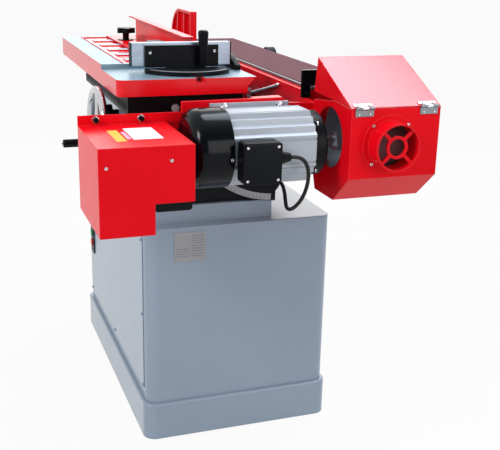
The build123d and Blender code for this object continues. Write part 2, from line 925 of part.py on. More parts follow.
# Motor housing: extrusion with stepped corners, feet on the plate and a rear bearing shield
motor_outline = [
    point
    for turn in range(4)
    for point in [
        (
            u * cos(radians(90 * turn)) - v * sin(radians(90 * turn)),
            u * sin(radians(90 * turn)) + v * cos(radians(90 * turn)),
        )
        for u, v in motor_steps
    ]
]
with BuildPart() as motor_housing:
    with BuildSketch(side_plane(motor_span_y[0])):
        with Locations((drum_x, drum_z)):
            Polygon(*motor_outline, align=None)
            for turn in (0, 90, 180, 270):
                for offset in groove_offsets:
                    spot = Location((0, 0, 0), (0, 0, turn)) * Location((motor_half, offset, 0))
                    with Locations(spot):
                        Rectangle(2 * groove_depth, groove_width, mode=Mode.SUBTRACT)
    extrude(amount=slide_y(motor_span_y))
    for sign in (-1, 1):
        inner_z = drum_z + sign * foot_z_inner
        outer_z = drum_z + sign * foot_z_outer
        span_z = (min(inner_z, outer_z), max(inner_z, outer_z))
        block((foot_plane_x, foot_plane_x + foot_thickness), foot_y, span_z)
        web_z = (min(inner_z, inner_z - sign * 8), max(inner_z, inner_z - sign * 8))
        block((foot_plane_x, foot_web_x), motor_span_y, web_z)
    bar_y(
        (motor_span_y[0] + motor_shield, motor_span_y[1] + 1),
        drum_x, drum_z, motor_bore_r, mode=Mode.SUBTRACT,
    )
    bar_y(
        (motor_span_y[0] - 1, motor_span_y[0] + motor_shield + 1),
        drum_x, drum_z, bearing_r, mode=Mode.SUBTRACT,
    )
save(motor_housing, "motor_housing")

# Stator pack pressed into the housing
with BuildPart() as stator:
    bar_y(stator_y, drum_x, drum_z, motor_bore_r)
    bar_y((stator_y[0] - 1, stator_y[1] + 1), drum_x, drum_z, stator_inner_r, mode=Mode.SUBTRACT)
save(stator, "stator")

# Drive-end bell with its bearing seat
with BuildPart() as motor_end_bell:
    bar_y(end_bell_y, drum_x, drum_z, end_bell_r)
    chamfer(motor_end_bell.edges().group_by(Axis.Y)[-1], end_bell_chamfer)
    bar_y((end_bell_y[0] - 1, end_bell_y[0] + bearing_seat), drum_x, drum_z, bearing_r, mode=Mode.SUBTRACT)
    bar_y((end_bell_y[0], end_bell_y[1] + 1), drum_x, drum_z, shaft_hole_r, mode=Mode.SUBTRACT)
save(motor_end_bell, "motor_end_bell")

# Two ball bearings of the motor, as plain rings
with BuildPart() as motor_bearings:
    rear_seat = (motor_span_y[0], motor_span_y[0] + motor_shield)
    front_seat = (end_bell_y[0], end_bell_y[0] + bearing_seat)
    for span in (rear_seat, front_seat):
        bar_y(span, drum_x, drum_z, bearing_r)
    bar_y((rear_seat[0] - 1, front_seat[1] + 1), drum_x, drum_z, shaft_r + running_gap, mode=Mode.SUBTRACT)
save(motor_bearings, "motor_bearings")

# Fan cover: pressed cup over the rear of the motor
cup_rear, cup_front = fan_cover_y
round_centre = (cup_rear + fan_cover_round, fan_cover_r - fan_cover_round)
inner_round = fan_cover_round - fan_cover_wall
with BuildPart() as fan_cover:
    with BuildSketch(drive_plane):
        with BuildLine():
            Line((cup_rear, fan_cover_hole_r), (cup_rear, round_centre[1]))
            CenterArc(round_centre, fan_cover_round, 180, -90)
            Line((round_centre[0], fan_cover_r), (cup_front, fan_cover_r))
            Line((cup_front, fan_cover_r), (cup_front, fan_cover_r - fan_cover_wall))
            Line((cup_front, fan_cover_r - fan_cover_wall), (round_centre[0], fan_cover_r - fan_cover_wall))
            CenterArc(round_centre, inner_round, 90, 90)
            Line((cup_rear + fan_cover_wall, round_centre[1]), (cup_rear + fan_cover_wall, fan_cover_hole_r))
            Line((cup_rear + fan_cover_wall, fan_cover_hole_r), (cup_rear, fan_cover_hole_r))
        make_face()
    revolve(axis=drive_axis)
save(fan_cover, "fan_cover")

# Terminal box on the near side of the motor
with BuildPart() as terminal_box:
    block(terminal_x, terminal_y, terminal_z)
    fillet(terminal_box.edges().filter_by(Axis.X), terminal_round)
    fillet(terminal_box.edges().group_by(Axis.X)[-1], 3)
    block((drum_x + motor_half, terminal_x[0] + 1), terminal_neck_y, terminal_neck_z)
save(terminal_box, "terminal_box")

# Cable gland on the terminal box and grommet on the motor plate
gland_end = cable_route[0][1]
grommet_y, grommet_z = cable_route[-1][1:]
with BuildPart() as cable_glands:
    with BuildSketch(side_plane(terminal_y[1])):
        with Locations((gland_x, gland_z)):
            RegularPolygon(gland_hex_r, 6)
    extrude(amount=-gland_hex_length)
    with Locations((gland_x, (terminal_y[1] + gland_hex_length + gland_end) / 2, gland_z)):
        Cone(
            gland_nut_r, gland_nose_r, gland_end - terminal_y[1] - gland_hex_length,
            rotation=(-90, 0, 0),
        )
    bar_x((foot_plane_x, foot_plane_x + grommet_length), grommet_y, grommet_z, grommet_r)
save(cable_glands, "cable_glands")


# Motor cable: free loop from the gland back under the motor
def corner_radius(before, corner, after):
    """Largest arc that the two runs beside a corner leave room for."""
    run_in = Vector(*corner) - Vector(*before)
    run_out = Vector(*after) - Vector(*corner)
    turn = run_in.get_angle(run_out)
    return cable_fill * min(run_in.length, run_out.length) / tan(radians(turn) / 2)


cable_radii = [
    corner_radius(*cable_route[i - 1:i + 2])
    for i in range(1, len(cable_route) - 1)
]
with BuildPart() as motor_cable:
    with BuildLine() as cable_path:
        FilletPolyline(*cable_route, radius=cable_radii)
    start_plane = Plane(origin=cable_route[0], z_dir=cable_path.wires()[0] % 0)
    with BuildSketch(start_plane):
        Circle(cable_r)
    sweep(path=cable_path.wires()[0])
save(motor_cable, "motor_cable")
cable_length = cable_path.wires()[0].length
print("cable length", round(cable_length, 1), "radii", [round(r, 1) for r in cable_radii])
print("cable volume share", round(motor_cable.part.volume / (cable_length * 3.14159 * cable_r ** 2), 4))

# Rotor: stepped shaft, laminated core and the worm on its rear end
with BuildPart() as motor_rotor:
    bar_y((worm_y[1], shaft_span_y[1]), drum_x, drum_z, shaft_r)
    bar_y(rotor_y, drum_x, drum_z, rotor_r)
    bar_y((shaft_span_y[0], worm_y[1]), drum_x, drum_z, worm_root_r)
    thread_pitch = (worm_y[1] - worm_y[0]) / worm_threads
    for i in range(worm_threads):
        start = worm_y[0] + i * thread_pitch
        bar_y((start, start + thread_pitch / 2), drum_x, drum_z, worm_r)
save(motor_rotor, "motor_rotor")

# Cooling fan on the shaft behind the rear bearing
with BuildPart() as cooling_fan:
    bar_y(fan_y, drum_x, drum_z, fan_hub_r)
    bar_y((fan_y[1] - fan_disc, fan_y[1]), drum_x, drum_z, fan_r)
    for i in range(fan_blades):
        blade_angle = 360 / fan_blades * i
        reach = (fan_hub_r + fan_r) / 2 - 1
        blade_x, blade_z = polar((drum_x, drum_z), reach, blade_angle)
        with Locations((blade_x, sum(fan_y) / 2, blade_z)):
            Box(
                fan_r - fan_hub_r + 2, fan_y[1] - fan_y[0], fan_blade_thickness,
                rotation=(0, -blade_angle, 0),
            )
    bar_y((fan_y[0] - 1, fan_y[1] + 1), drum_x, drum_z, shaft_r, mode=Mode.SUBTRACT)
save(cooling_fan, "cooling_fan")

# Drive drum: rim, web and hub keyed to the motor shaft
with BuildPart() as drive_drum:
    bar_y(drum_span_y, drum_x, drum_z, drum_r)
    chamfer(drive_drum.edges(), 1.5)
    for span in ((drum_span_y[0] - 1, drum_web_y[0]), (drum_web_y[1], drum_span_y[1] + 1)):
        bar_y(span, drum_x, drum_z, drum_r - drum_wall, mode=Mode.SUBTRACT)
    bar_y(drum_hub_y, drum_x, drum_z, drum_hub_r)
    bar_y((drum_hub_y[0] - 1, drum_hub_y[1] + 1), drum_x, drum_z, shaft_r, mode=Mode.SUBTRACT)
save(drive_drum, "drive_drum")

# Gearbox: open-backed housing for the worm and wheel
with BuildPart() as gearbox:
    block(gearbox_x, gearbox_y, gearbox_z)
    fillet(gearbox.edges().filter_by(Axis.X), gearbox_wall)
    block(
        (gearbox_x[0] - 1, gearbox_x[1] - gearbox_wall),
        (gearbox_y[0] + gearbox_wall, gearbox_y[1] - gearbox_wall),
        (gearbox_z[0] + gearbox_wall, gearbox_z[1] - gearbox_wall),
        mode=Mode.SUBTRACT,
    )
    bar_y((gearbox_y[0] - 1, gearbox_y[1] + 1), drum_x, drum_z, shaft_hole_r, mode=Mode.SUBTRACT)
save(gearbox, "gearbox")

# Worm wheel with its shaft and the eccentric that drives the link
with BuildPart() as eccentric_wheel:
    with BuildSketch(end_plane(wheel_x[0])):
        with Locations((wheel_y, wheel_z)):
            Circle(wheel_r)
        for i in range(wheel_teeth):
            notch = polar((wheel_y, wheel_z), wheel_r, 360 / wheel_teeth * i)
            with Locations(notch):
                Circle(wheel_tooth_depth / 2, mode=Mode.SUBTRACT)
    extrude(amount=wheel_x[1] - wheel_x[0])
    bar_x(wheel_shaft_x, wheel_y, wheel_z, wheel_shaft_r)
    bar_x(eccentric_x, wheel_y, wheel_z + eccentric_throw, eccentric_r)
save(eccentric_wheel, "eccentric_wheel")


# Gear cover: folded sheet box over the oscillation drive
def cover_points(inset):
    """Stepped face of the gear cover in Y and Z, drawn inside by an inset."""
    return [
        (cover_y[0] + inset, cover_z[0] + inset),
        (cover_step_y - inset, cover_z[0] + inset),
        (cover_step_y - inset, cover_step_z + inset),
        (cover_y[1] - inset, cover_step_z + inset),
        (cover_y[1] - inset, cover_z[1] - inset),
        (cover_y[0] + inset, cover_z[1] - inset),
    ]


with BuildPart() as gear_cover:
    with BuildSketch(end_plane(cover_x[0])):
        Polygon(*cover_points(0), align=None)
    extrude(amount=cover_x[1] - cover_x[0])
    with BuildSketch(end_plane(cover_x[0])):
        Polygon(*cover_points(cover_sheet), align=None)
    extrude(amount=cover_x[1] - cover_x[0] - cover_sheet, mode=Mode.SUBTRACT)
    block(
        (cover_x[0], gearbox_x[1] + cover_sheet),
        (gearbox_y[0] - 1, gearbox_y[1] + 1),
        (cover_step_z - 1, cover_step_z + cover_sheet + 1),
        mode=Mode.SUBTRACT,
    )
    block(
        (cover_x[0], cover_x[0] + cover_sheet),
        (cover_y[0], cover_flange_right),
        (cover_z[1] - cover_sheet, cover_flange_top),
    )
    bar_y((cover_y[1] - 2 * cover_sheet, cover_y[1] + 1), drum_x, drum_z, shaft_hole_r, mode=Mode.SUBTRACT)
save(gear_cover, "gear_cover")


# Hood: sheet box round the drive drum, open at the top and towards the belt
with BuildPart() as hood:
    with BuildSketch(side_plane(hood_y[0])):
        Polygon(
            (hood_rear_x, hood_rear_z),
            hood_crest,
            (hood_front, hood_front_z[1]),
            (hood_front, hood_front_z[0]),
            (hood_bottom_x[1], hood_bottom_z),
            (hood_bottom_x[0], hood_bottom_z),
            (hood_rear_x, hood_front_z[0]),
            align=None,
        )
    extrude(amount=slide_y(hood_y))
    with BuildSketch(side_plane(hood_y[0] + hood_sheet)):
        with BuildLine():
            Polyline(
                (hood_rear_x - 1, hood_crest[1] + 1),
                (hood_front - hood_sheet, hood_crest[1] + 1),
                (hood_front - hood_sheet, hood_front_z[0] + hood_sheet / 2),
                (hood_bottom_x[1] - hood_sheet / 2, hood_bottom_z + hood_sheet),
                (hood_bottom_x[0], hood_bottom_z + hood_sheet),
                (hood_rear_x - 1, hood_bottom_z + hood_sheet),
                close=True,
            )
        make_face()
    extrude(amount=slide_y((hood_y[0] + hood_sheet, hood_y[1] - hood_sheet)), mode=Mode.SUBTRACT)
    bar_y((hood_y[0] - 1, hood_y[0] + 2 * hood_sheet), drum_x, hood_hole_z, hood_hole_r, mode=Mode.SUBTRACT)
    bar_x((hood_front - 2 * hood_sheet, hood_front + 1), port_y, port_z, port_r - port_wall, mode=Mode.SUBTRACT)
    block((motor_plate_x[1], hood_rear_x), (hood_y[0], hood_flange_y), hood_flange_z)
save(hood, "hood")

# Hood lid: wedge-shaped cover hinged along its front edge
lid_run = hypot(lid_apex[0] - lid_front[0], lid_apex[1] - lid_front[1])
lid_normal = ((lid_apex[1] - lid_front[1]) / lid_run, (lid_front[0] - lid_apex[0]) / lid_run)
lid_back = hypot(lid_rear[0] - lid_apex[0], lid_rear[1] - lid_apex[1])
lid_down = ((lid_rear[0] - lid_apex[0]) / lid_back, (lid_rear[1] - lid_apex[1]) / lid_back)


def lid_point(base, along, depth):
    """Point on the lid at a distance down the back edge and a depth below the slope."""
    return (
        base[0] + lid_down[0] * along - lid_normal[0] * depth,
        base[1] + lid_down[1] * along - lid_normal[1] * depth,
    )


with BuildPart() as hood_lid:
    with BuildSketch(side_plane(hood_y[0])):
        with BuildLine():
            Polyline(lid_front, lid_apex, lid_rear, close=True)
        make_face()
    extrude(amount=slide_y(hood_y))
    with BuildSketch(side_plane(hood_y[0] + hood_sheet)):
        with BuildLine():
            inner_front = lid_point(lid_front, 0, hood_sheet)
            inner_apex = lid_point(lid_apex, 0, hood_sheet)
            slope = (lid_apex[0] - lid_front[0], lid_apex[1] - lid_front[1])
            Polyline(
                (inner_front[0] - slope[0], inner_front[1] - slope[1]),
                (inner_apex[0] + slope[0], inner_apex[1] + slope[1]),
                (lid_rear[0] + slope[0], lid_rear[1] - 2 * lid_back),
                (lid_front[0] - slope[0], lid_rear[1] - 2 * lid_back),
                close=True,
            )
        make_face()
    extrude(amount=slide_y((hood_y[0] + hood_sheet, hood_y[1] - hood_sheet)), mode=Mode.SUBTRACT)
    with BuildSketch(side_plane(hood_y[0] + hood_sheet / 2)):
        with BuildLine():
            Polyline(
                lid_apex,
                lid_point(lid_apex, lid_lip, 0),
                (lid_point(lid_apex, lid_lip, 0)[0] + hood_sheet, lid_point(lid_apex, lid_lip, 0)[1]),
                (lid_apex[0] + hood_sheet, lid_apex[1] - hood_sheet),
                close=True,
            )
        make_face()
    extrude(amount=slide_y((hood_y[0] + hood_sheet / 2, hood_y[1] - hood_sheet / 2)))
save(hood_lid, "hood_lid")

# Leaf hinges of the lid: knuckles in thirds, the middle third and pin on the lid
knuckle = hinge_length / 3
slope_angle = degrees(atan2(lid_apex[1] - lid_front[1], lid_apex[0] - lid_front[0]))
leaf_top = hinge_axis_z - hinge_barrel_r - hinge_gap
with BuildPart() as hood_hinge_leaves:
    for y in hinge_centres_y:
        block(
            (hood_front, hood_front + hinge_sheet),
            (y - hinge_length / 2, y + hinge_length / 2),
            (leaf_top - hinge_leaf_hood, leaf_top),
        )
        for side in (-1, 1):
            low = y + side * knuckle - knuckle / 2
            span = (low + hinge_gap / 2, low + knuckle - hinge_gap / 2)
            bar_y(span, hinge_axis_x, hinge_axis_z, hinge_barrel_r)
            block(
                (hood_front, hood_front + hinge_sheet),
                span,
                (leaf_top - hinge_sheet, hinge_axis_z),
            )
            bar_y(
                (span[0] - 1, span[1] + 1), hinge_axis_x, hinge_axis_z,
                hinge_pin_r + running_gap, mode=Mode.SUBTRACT,
            )
save(hood_hinge_leaves, "hood_hinge_leaves")

leaf_start = (lid_front[0] + lid_normal[0] * hinge_sheet / 2, lid_front[1] + lid_normal[1] * hinge_sheet / 2)
with BuildPart() as lid_hinge_leaves:
    for y in hinge_centres_y:
        leaf_mid = polar(leaf_start, hinge_leaf_start + hinge_leaf_lid / 2, slope_angle)
        with Locations(Location((leaf_mid[0], y, leaf_mid[1]), (0, -slope_angle, 0))):
            Box(hinge_leaf_lid, hinge_length, hinge_sheet)
        neck_mid = polar(leaf_start, hinge_neck_mid, slope_angle)
        with Locations(Location((neck_mid[0], y, neck_mid[1]), (0, -slope_angle, 0))):
            Box(hinge_neck, knuckle - hinge_gap, hinge_sheet)
        bar_y(
            (y - knuckle / 2 + hinge_gap / 2, y + knuckle / 2 - hinge_gap / 2),
            hinge_axis_x, hinge_axis_z, hinge_barrel_r,
        )
        bar_y((y - hinge_length / 2, y + hinge_length / 2), hinge_axis_x, hinge_axis_z, hinge_pin_r)
save(lid_hinge_leaves, "lid_hinge_leaves")

# Dust port on the front of the hood, with a spoked guard
with BuildPart() as dust_port:
    bar_x((hood_front, hood_front + port_flange), port_y, port_z, port_flange_r)
    bar_x((hood_front, hood_front + port_length), port_y, port_z, port_r)
    bar_x(
        (hood_front - 1, hood_front + port_length + 1),
        port_y, port_z, port_r - port_wall, mode=Mode.SUBTRACT,
    )
    bar_x(grille_x, port_y, port_z, grille_ring_r)
    spoke_reach = (grille_hole_r + port_r) / 2
    for angle in spoke_angles:
        spoke_y, spoke_z = polar((port_y, port_z), spoke_reach, angle)
        with Locations((sum(grille_x) / 2, spoke_y, spoke_z)):
            Box(
                grille_x[1] - grille_x[0], port_r - grille_hole_r - port_wall + 2, spoke_width,
                rotation=(angle, 0, 0),
            )
    bar_x((grille_x[0] - 1, grille_x[1] + 1), port_y, port_z, grille_hole_r, mode=Mode.SUBTRACT)
save(dust_port, "dust_port")

# Idler carriage: yoke with slide rods and the idler's fixed shaft
with BuildPart() as idler_yoke:
    block(yoke_block_x, (yoke_arms_y[0][0], yoke_arms_y[1][1]), yoke_block_z)
    for span in yoke_arms_y:
        block((yoke_arm_far_x, yoke_block_x[1]), span, yoke_block_z)
    bar_y((yoke_arms_y[0][0], yoke_arms_y[1][1]), idler_x, idler_z, idler_shaft_r)
    for y in yoke_rod_y:
        bar_x((yoke_block_x[1], yoke_rod_end_x), y, idler_z, yoke_rod_r)
save(idler_yoke, "idler_yoke")

# Idler drum: rim on two hubs that run on the shaft
with BuildPart() as idler_drum:
    bar_y(belt_span_y, idler_x, idler_z, idler_r)
    bar_y(
        (belt_span_y[0] + idler_hub_length, belt_span_y[1] - idler_hub_length),
        idler_x, idler_z, idler_r - idler_wall, mode=Mode.SUBTRACT,
    )
    bar_y(
        (belt_span_y[0] - 1, belt_span_y[1] + 1), idler_x, idler_z,
        idler_shaft_r + running_gap, mode=Mode.SUBTRACT,
    )
save(idler_drum, "idler_drum")

# Belt tension lever on the operator's side of the casting
lever_y = casting_y[0] - lever_clear
lever_dx = lever_tip[0] - lever_pivot_x
lever_dz = lever_tip[1] - lever_pivot_z
lever_angle = degrees(atan2(lever_dz, lever_dx))
with BuildPart() as tension_lever:
    bar_y((lever_y - lever_r, lever_y + lever_r), lever_pivot_x, lever_pivot_z, lever_boss_r)
    with Locations((lever_pivot_x + lever_dx / 2, lever_y, lever_pivot_z + lever_dz / 2)):
        Cylinder(lever_r - 1, hypot(lever_dx, lever_dz), rotation=(0, 90 - lever_angle, 0))
    with Locations((lever_tip[0], lever_y, lever_tip[1])):
        Sphere(lever_r)
    bar_y(
        (lever_y - lever_r - 1, lever_y + lever_r + 1), lever_pivot_x, lever_pivot_z,
        lever_pin_r + running_gap, mode=Mode.SUBTRACT,
    )
save(tension_lever, "tension_lever")

# Belt tracking knob at the rear of the casting
with BuildPart() as tracking_knob:
    bar_y(tracking_knob_y, tracking_x, tracking_z, tracking_knob_r)
    fillet(tracking_knob.edges().group_by(Axis.Y)[-1], 4)
    bar_y((tracking_boss_y, tracking_knob_y[0]), tracking_x, tracking_z, tracking_boss_r)
    bar_y(
        (tracking_boss_y - 1, tracking_stud_end + 1), tracking_x, tracking_z,
        tracking_stud_r + running_gap, mode=Mode.SUBTRACT,
    )
save(tracking_knob, "tracking_knob")

# Table: cast top with a lower ledge, a gauge slot and a field of raised lands
with BuildPart() as table:
    with BuildSketch(end_plane(table_x[0])):
        with BuildLine():
            Polyline(
                (table_y[0], table_bottom),
                (table_y[1] - table_bevel, table_bottom),
                (table_y[1] - table_bevel, table_bevel_z[0]),
                (table_y[1], table_bevel_z[1]),
                (table_y[1], table_top),
                (table_y[0], table_top),
                close=True,
            )
        make_face()
    extrude(amount=table_x[1] - table_x[0])
    operator_corners = table.edges().filter_by(Axis.Z).group_by(Axis.Y)[0]
    fillet(operator_corners, table_corner)
    block(
        (ledge_x, table_x[1] + 1),
        (table_y[0] - 1, table_y[1] + 1),
        (ledge_top, table_top + 1),
        mode=Mode.SUBTRACT,
    )
    block(
        (slot_start_x, table_x[1] + 1),
        (slot_y - slot_width / 2, slot_y + slot_width / 2),
        (ledge_top - slot_depth, ledge_top + 1),
        mode=Mode.SUBTRACT,
    )
    block(recess_x, recess_y, (table_top - recess_depth, table_top + 1), mode=Mode.SUBTRACT)
    for x in land_x:
        block((x - land_width / 2, x + land_width / 2), land_y, (table_top - recess_depth, table_top))
    block(
        (table_x[0] + table_pocket_margin, table_x[1] - table_pocket_margin),
        (table_y[0] + table_pocket_margin, table_y[1] - table_bevel - table_pocket_margin),
        (table_bottom - 1, table_bottom + table_pocket_depth),
        mode=Mode.SUBTRACT,
    )
    block(
        (saddle_x[0], saddle_x[1] - table_pocket_margin),
        (lift_y - table_rib, lift_y + table_rib),
        (table_bottom, table_bottom + table_pocket_depth),
    )
    for x in knob_x.values():
        bar_z((knob_hole_bottom, table_top + 1), x, knob_y, knob_stud_r + running_gap, mode=Mode.SUBTRACT)
save(table, "table")

# Saddle: black casting under the table that carries the lift columns
with BuildPart() as table_saddle:
    saddle_y = (saddle_front_y[0], saddle_rear_y[1])
    block(saddle_x, saddle_y, (saddle_plate_z, table_bottom))
    for span in (saddle_front_y, saddle_rear_y):
        block(saddle_x, span, (saddle_bottom, table_bottom))
    for end in (saddle_x[0], saddle_x[1] - table_rib):
        block((end, end + table_rib), saddle_y, (saddle_bottom, table_bottom))
    block(
        (saddle_x[0] + table_rib, saddle_x[1] - table_rib),
        (saddle_front_y[0] - 1, saddle_front_y[0] + saddle_groove),
        saddle_groove_z,
        mode=Mode.SUBTRACT,
    )
save(table_saddle, "table_saddle")

# Guide columns and lift screw, fixed under the saddle
with BuildPart() as lift_columns:
    for x in column_x:
        bar_z((column_bottom, saddle_plate_z), x, lift_y, column_r)
save(lift_columns, "lift_columns")

with BuildPart() as lift_screw:
    bar_z((screw_bottom, saddle_plate_z), screw_x, lift_y, screw_r)
    chamfer(lift_screw.edges().group_by(Axis.Z)[0], 1.5)
save(lift_screw, "lift_screw")


# Bevel gears between the handwheel shaft and the rotating lift nut
def gear_points(radius):
    """Toothed outline of a bevel gear section."""
    root = radius * (1 - bevel_tooth / bevel_r)
    step = 180 / bevel_teeth
    return [polar((0, 0), root if i % 2 else radius, step * (i + 0.5)) for i in range(2 * bevel_teeth)]


with BuildPart() as lift_nut_gear:
    for height, radius in ((bevel_back, bevel_r), (bevel_front, bevel_tip_r)):
        with BuildSketch(Plane(origin=(screw_x, lift_y, wheel_axis_z - height))):
            Polygon(*gear_points(radius), align=None)
    loft(ruled=True)
    bar_z(nut_hub_z, screw_x, lift_y, nut_hub_r)
    bar_z((nut_hub_z[0] - 1, wheel_axis_z), screw_x, lift_y, screw_r + running_gap, mode=Mode.SUBTRACT)
save(lift_nut_gear, "lift_nut_gear")

with BuildPart() as handwheel_shaft:
    for depth, radius in ((bevel_back, bevel_r), (bevel_front, bevel_tip_r)):
        with BuildSketch(Plane(origin=(screw_x, lift_y - depth, wheel_axis_z), z_dir=(0, 1, 0))):
            Polygon(*gear_points(radius), align=None)
    loft(ruled=True)
    bar_y((handwheel_hub_y[0], lift_y - bevel_back), screw_x, wheel_axis_z, handwheel_shaft_r)
save(handwheel_shaft, "handwheel_shaft")

# Handwheel with its crank pin
crank_x, crank_z = polar((screw_x, wheel_axis_z), handwheel_r, crank_angle)
with BuildPart() as handwheel:
    bar_y(handwheel_hub_y, screw_x, wheel_axis_z, handwheel_hub_r)
    for i in range(handwheel_spokes):
        spoke_angle = crank_angle + 360 / handwheel_spokes * i
        spoke_x, spoke_z = polar((screw_x, wheel_axis_z), handwheel_r / 2, spoke_angle)
        with Locations((spoke_x, handwheel_y, spoke_z)):
            Cylinder(handwheel_spoke_r, handwheel_r, rotation=(0, 90 - spoke_angle, 0))
    with BuildSketch(Plane.XY.offset(wheel_axis_z)):
        with Locations((screw_x + handwheel_r, handwheel_y)):
            RectangleRounded(2 * handwheel_rim_r, 2 * handwheel_rim_r, handwheel_rim_r - 0.5)
    revolve(axis=Axis((screw_x, handwheel_y, wheel_axis_z), (0, 1, 0)))
    bar_y((crank_pin_end, handwheel_y), crank_x, crank_z, crank_pin_r)
    bar_y(
        (handwheel_hub_y[0] - 1, handwheel_hub_y[1] + 1),
        screw_x, wheel_axis_z, handwheel_shaft_r, mode=Mode.SUBTRACT,
    )
save(handwheel, "handwheel")

with BuildPart() as handwheel_grip:
    bar_y(grip_y, crank_x, crank_z, grip_r)
    fillet(handwheel_grip.edges().group_by(Axis.Y)[0], 4)
    bar_y((grip_y[0] - 1, grip_y[1] + 1), crank_x, crank_z, crank_pin_r + running_gap, mode=Mode.SUBTRACT)
save(handwheel_grip, "handwheel_grip")

# Knob that locks the table height
with BuildPart() as table_lock_knob:
    bar_y(lock_knob_y, lock_knob_x, lock_knob_z, lock_knob_r)
    fillet(table_lock_knob.edges().group_by(Axis.Y)[0], 5)
    bar_y((lock_knob_y[1], pedestal_tall_y[0] - slide_gap), lock_knob_x, lock_knob_z, lock_knob_stem_r)
save(table_lock_knob, "table_lock_knob")

# Guide fence: folded sheet with slots for its two clamp knobs
fence_bottom = table_top + slide_gap
fence_top = fence_bottom + fence_height
with BuildPart() as fence:
    block(fence_x, (fence_base_y[1], fence_base_y[1] + fence_sheet), (fence_bottom, fence_top))
    block(fence_base_x, fence_base_y, (fence_bottom, fence_bottom + fence_sheet))
    block(
        fence_x,
        (fence_base_y[1] - fence_top_flange, fence_base_y[1]),
        (fence_top - fence_sheet, fence_top),
    )
    for x in knob_x.values():
        slot_z = (fence_bottom - 1, fence_bottom + 10)
        block((x - knob_slot_r, x + knob_slot_r), knob_slot_y, slot_z, mode=Mode.SUBTRACT)
        for y in knob_slot_y:
            bar_z(slot_z, x, y, knob_slot_r, mode=Mode.SUBTRACT)
save(fence, "fence")

# Star knobs that clamp the fence, each with washer and stud
washer_z, stem_z, head_z, cap_z = knob_heights
for side, x in knob_x.items():
    with BuildPart() as fence_knob:
        bar_z((knob_stud_bottom, stem_z), x, knob_y, knob_stud_r)
        bar_z((washer_z, stem_z), x, knob_y, knob_washer_r)
        bar_z((stem_z, head_z), x, knob_y, knob_stem_r)
        bar_z((head_z, cap_z), x, knob_y, knob_head_r)
        for i in range(knob_lobes):
            lobe_x, lobe_y = polar((x, knob_y), knob_head_r, 360 / knob_lobes * i)
            bar_z((head_z, cap_z), lobe_x, lobe_y, knob_lobe_r)
    save(fence_knob, f"fence_knob_{side}")

# Mitre gauge: bar in the slot with its pivot pin
with BuildPart() as mitre_bar:
    block(
        mitre_bar_x,
        (mitre_y - mitre_bar_width / 2, mitre_y + mitre_bar_width / 2),
        (ledge_top - slot_depth + slide_gap, ledge_top - slide_gap),
    )
    bar_z((ledge_top - slide_gap, mitre_base_z[1]), mitre_x, mitre_y, mitre_pin_r)
save(mitre_bar, "mitre_bar")

# Mitre body: protractor base with an upright plate for the fence
with BuildPart() as mitre_body:
    with BuildSketch(Plane.XY.offset(mitre_base_z[0])):
        with Locations((mitre_x, mitre_y)):
            Circle(mitre_base_r)
        with Locations((mitre_x, sum(mitre_base_y) / 2)):
            Rectangle(2 * mitre_base_r, mitre_base_y[1] - mitre_base_y[0], mode=Mode.INTERSECT)
        with Locations((mitre_chord_x - mitre_base_r, mitre_y)):
            Rectangle(2 * mitre_base_r, 2 * mitre_base_r, mode=Mode.SUBTRACT)
        with Locations(((mitre_hub_x + mitre_chord_x) / 2, sum(mitre_hub_y) / 2)):
            Rectangle(mitre_chord_x - mitre_hub_x + 2, mitre_hub_y[1] - mitre_hub_y[0])
        with Locations((mitre_x, mitre_y)):
            Circle(mitre_pin_r + running_gap, mode=Mode.SUBTRACT)
    extrude(amount=mitre_base_z[1] - mitre_base_z[0])
    block(mitre_plate_x, mitre_plate_y, mitre_plate_z)
save(mitre_body, "mitre_body")

# Mitre fence: aluminium rail with grooves along its face
with BuildPart() as mitre_fence:
    block(mitre_fence_x, mitre_fence_y, mitre_fence_z)
    for z in mitre_groove_z:
        block(
            (mitre_fence_x[0] - 1, mitre_fence_x[0] + mitre_fence_groove),
            (mitre_fence_y[0] - 1, mitre_fence_y[1] + 1),
            (z, z + mitre_fence_groove),
            mode=Mode.SUBTRACT,
        )
save(mitre_fence, "mitre_fence")

# Handle that clamps the mitre body
with BuildPart() as mitre_handle:
    with Locations((mitre_handle_x, mitre_handle_y, sum(mitre_handle_z) / 2)):
        Cone(mitre_handle_foot_r, mitre_handle_r, mitre_handle_z[1] - mitre_handle_z[0])
    fillet(mitre_handle.edges().group_by(Axis.Z)[-1], mitre_handle_round)
    bar_z((mitre_base_z[1] + slide_gap, mitre_handle_z[0]), mitre_handle_x, mitre_handle_y, mitre_stud_r)
save(mitre_handle, "mitre_handle")
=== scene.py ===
"""Visual model of an edge sander: finishes, small fittings, motor cable and studio.

Every length is in metres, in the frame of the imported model: X along the belt towards
the drive end, Y away from the operator, Z up.
"""

from __future__ import annotations

import logging
import math
from collections.abc import Callable, Sequence
from dataclasses import dataclass, field
from enum import Enum

import bpy
from mathutils import Matrix, Vector

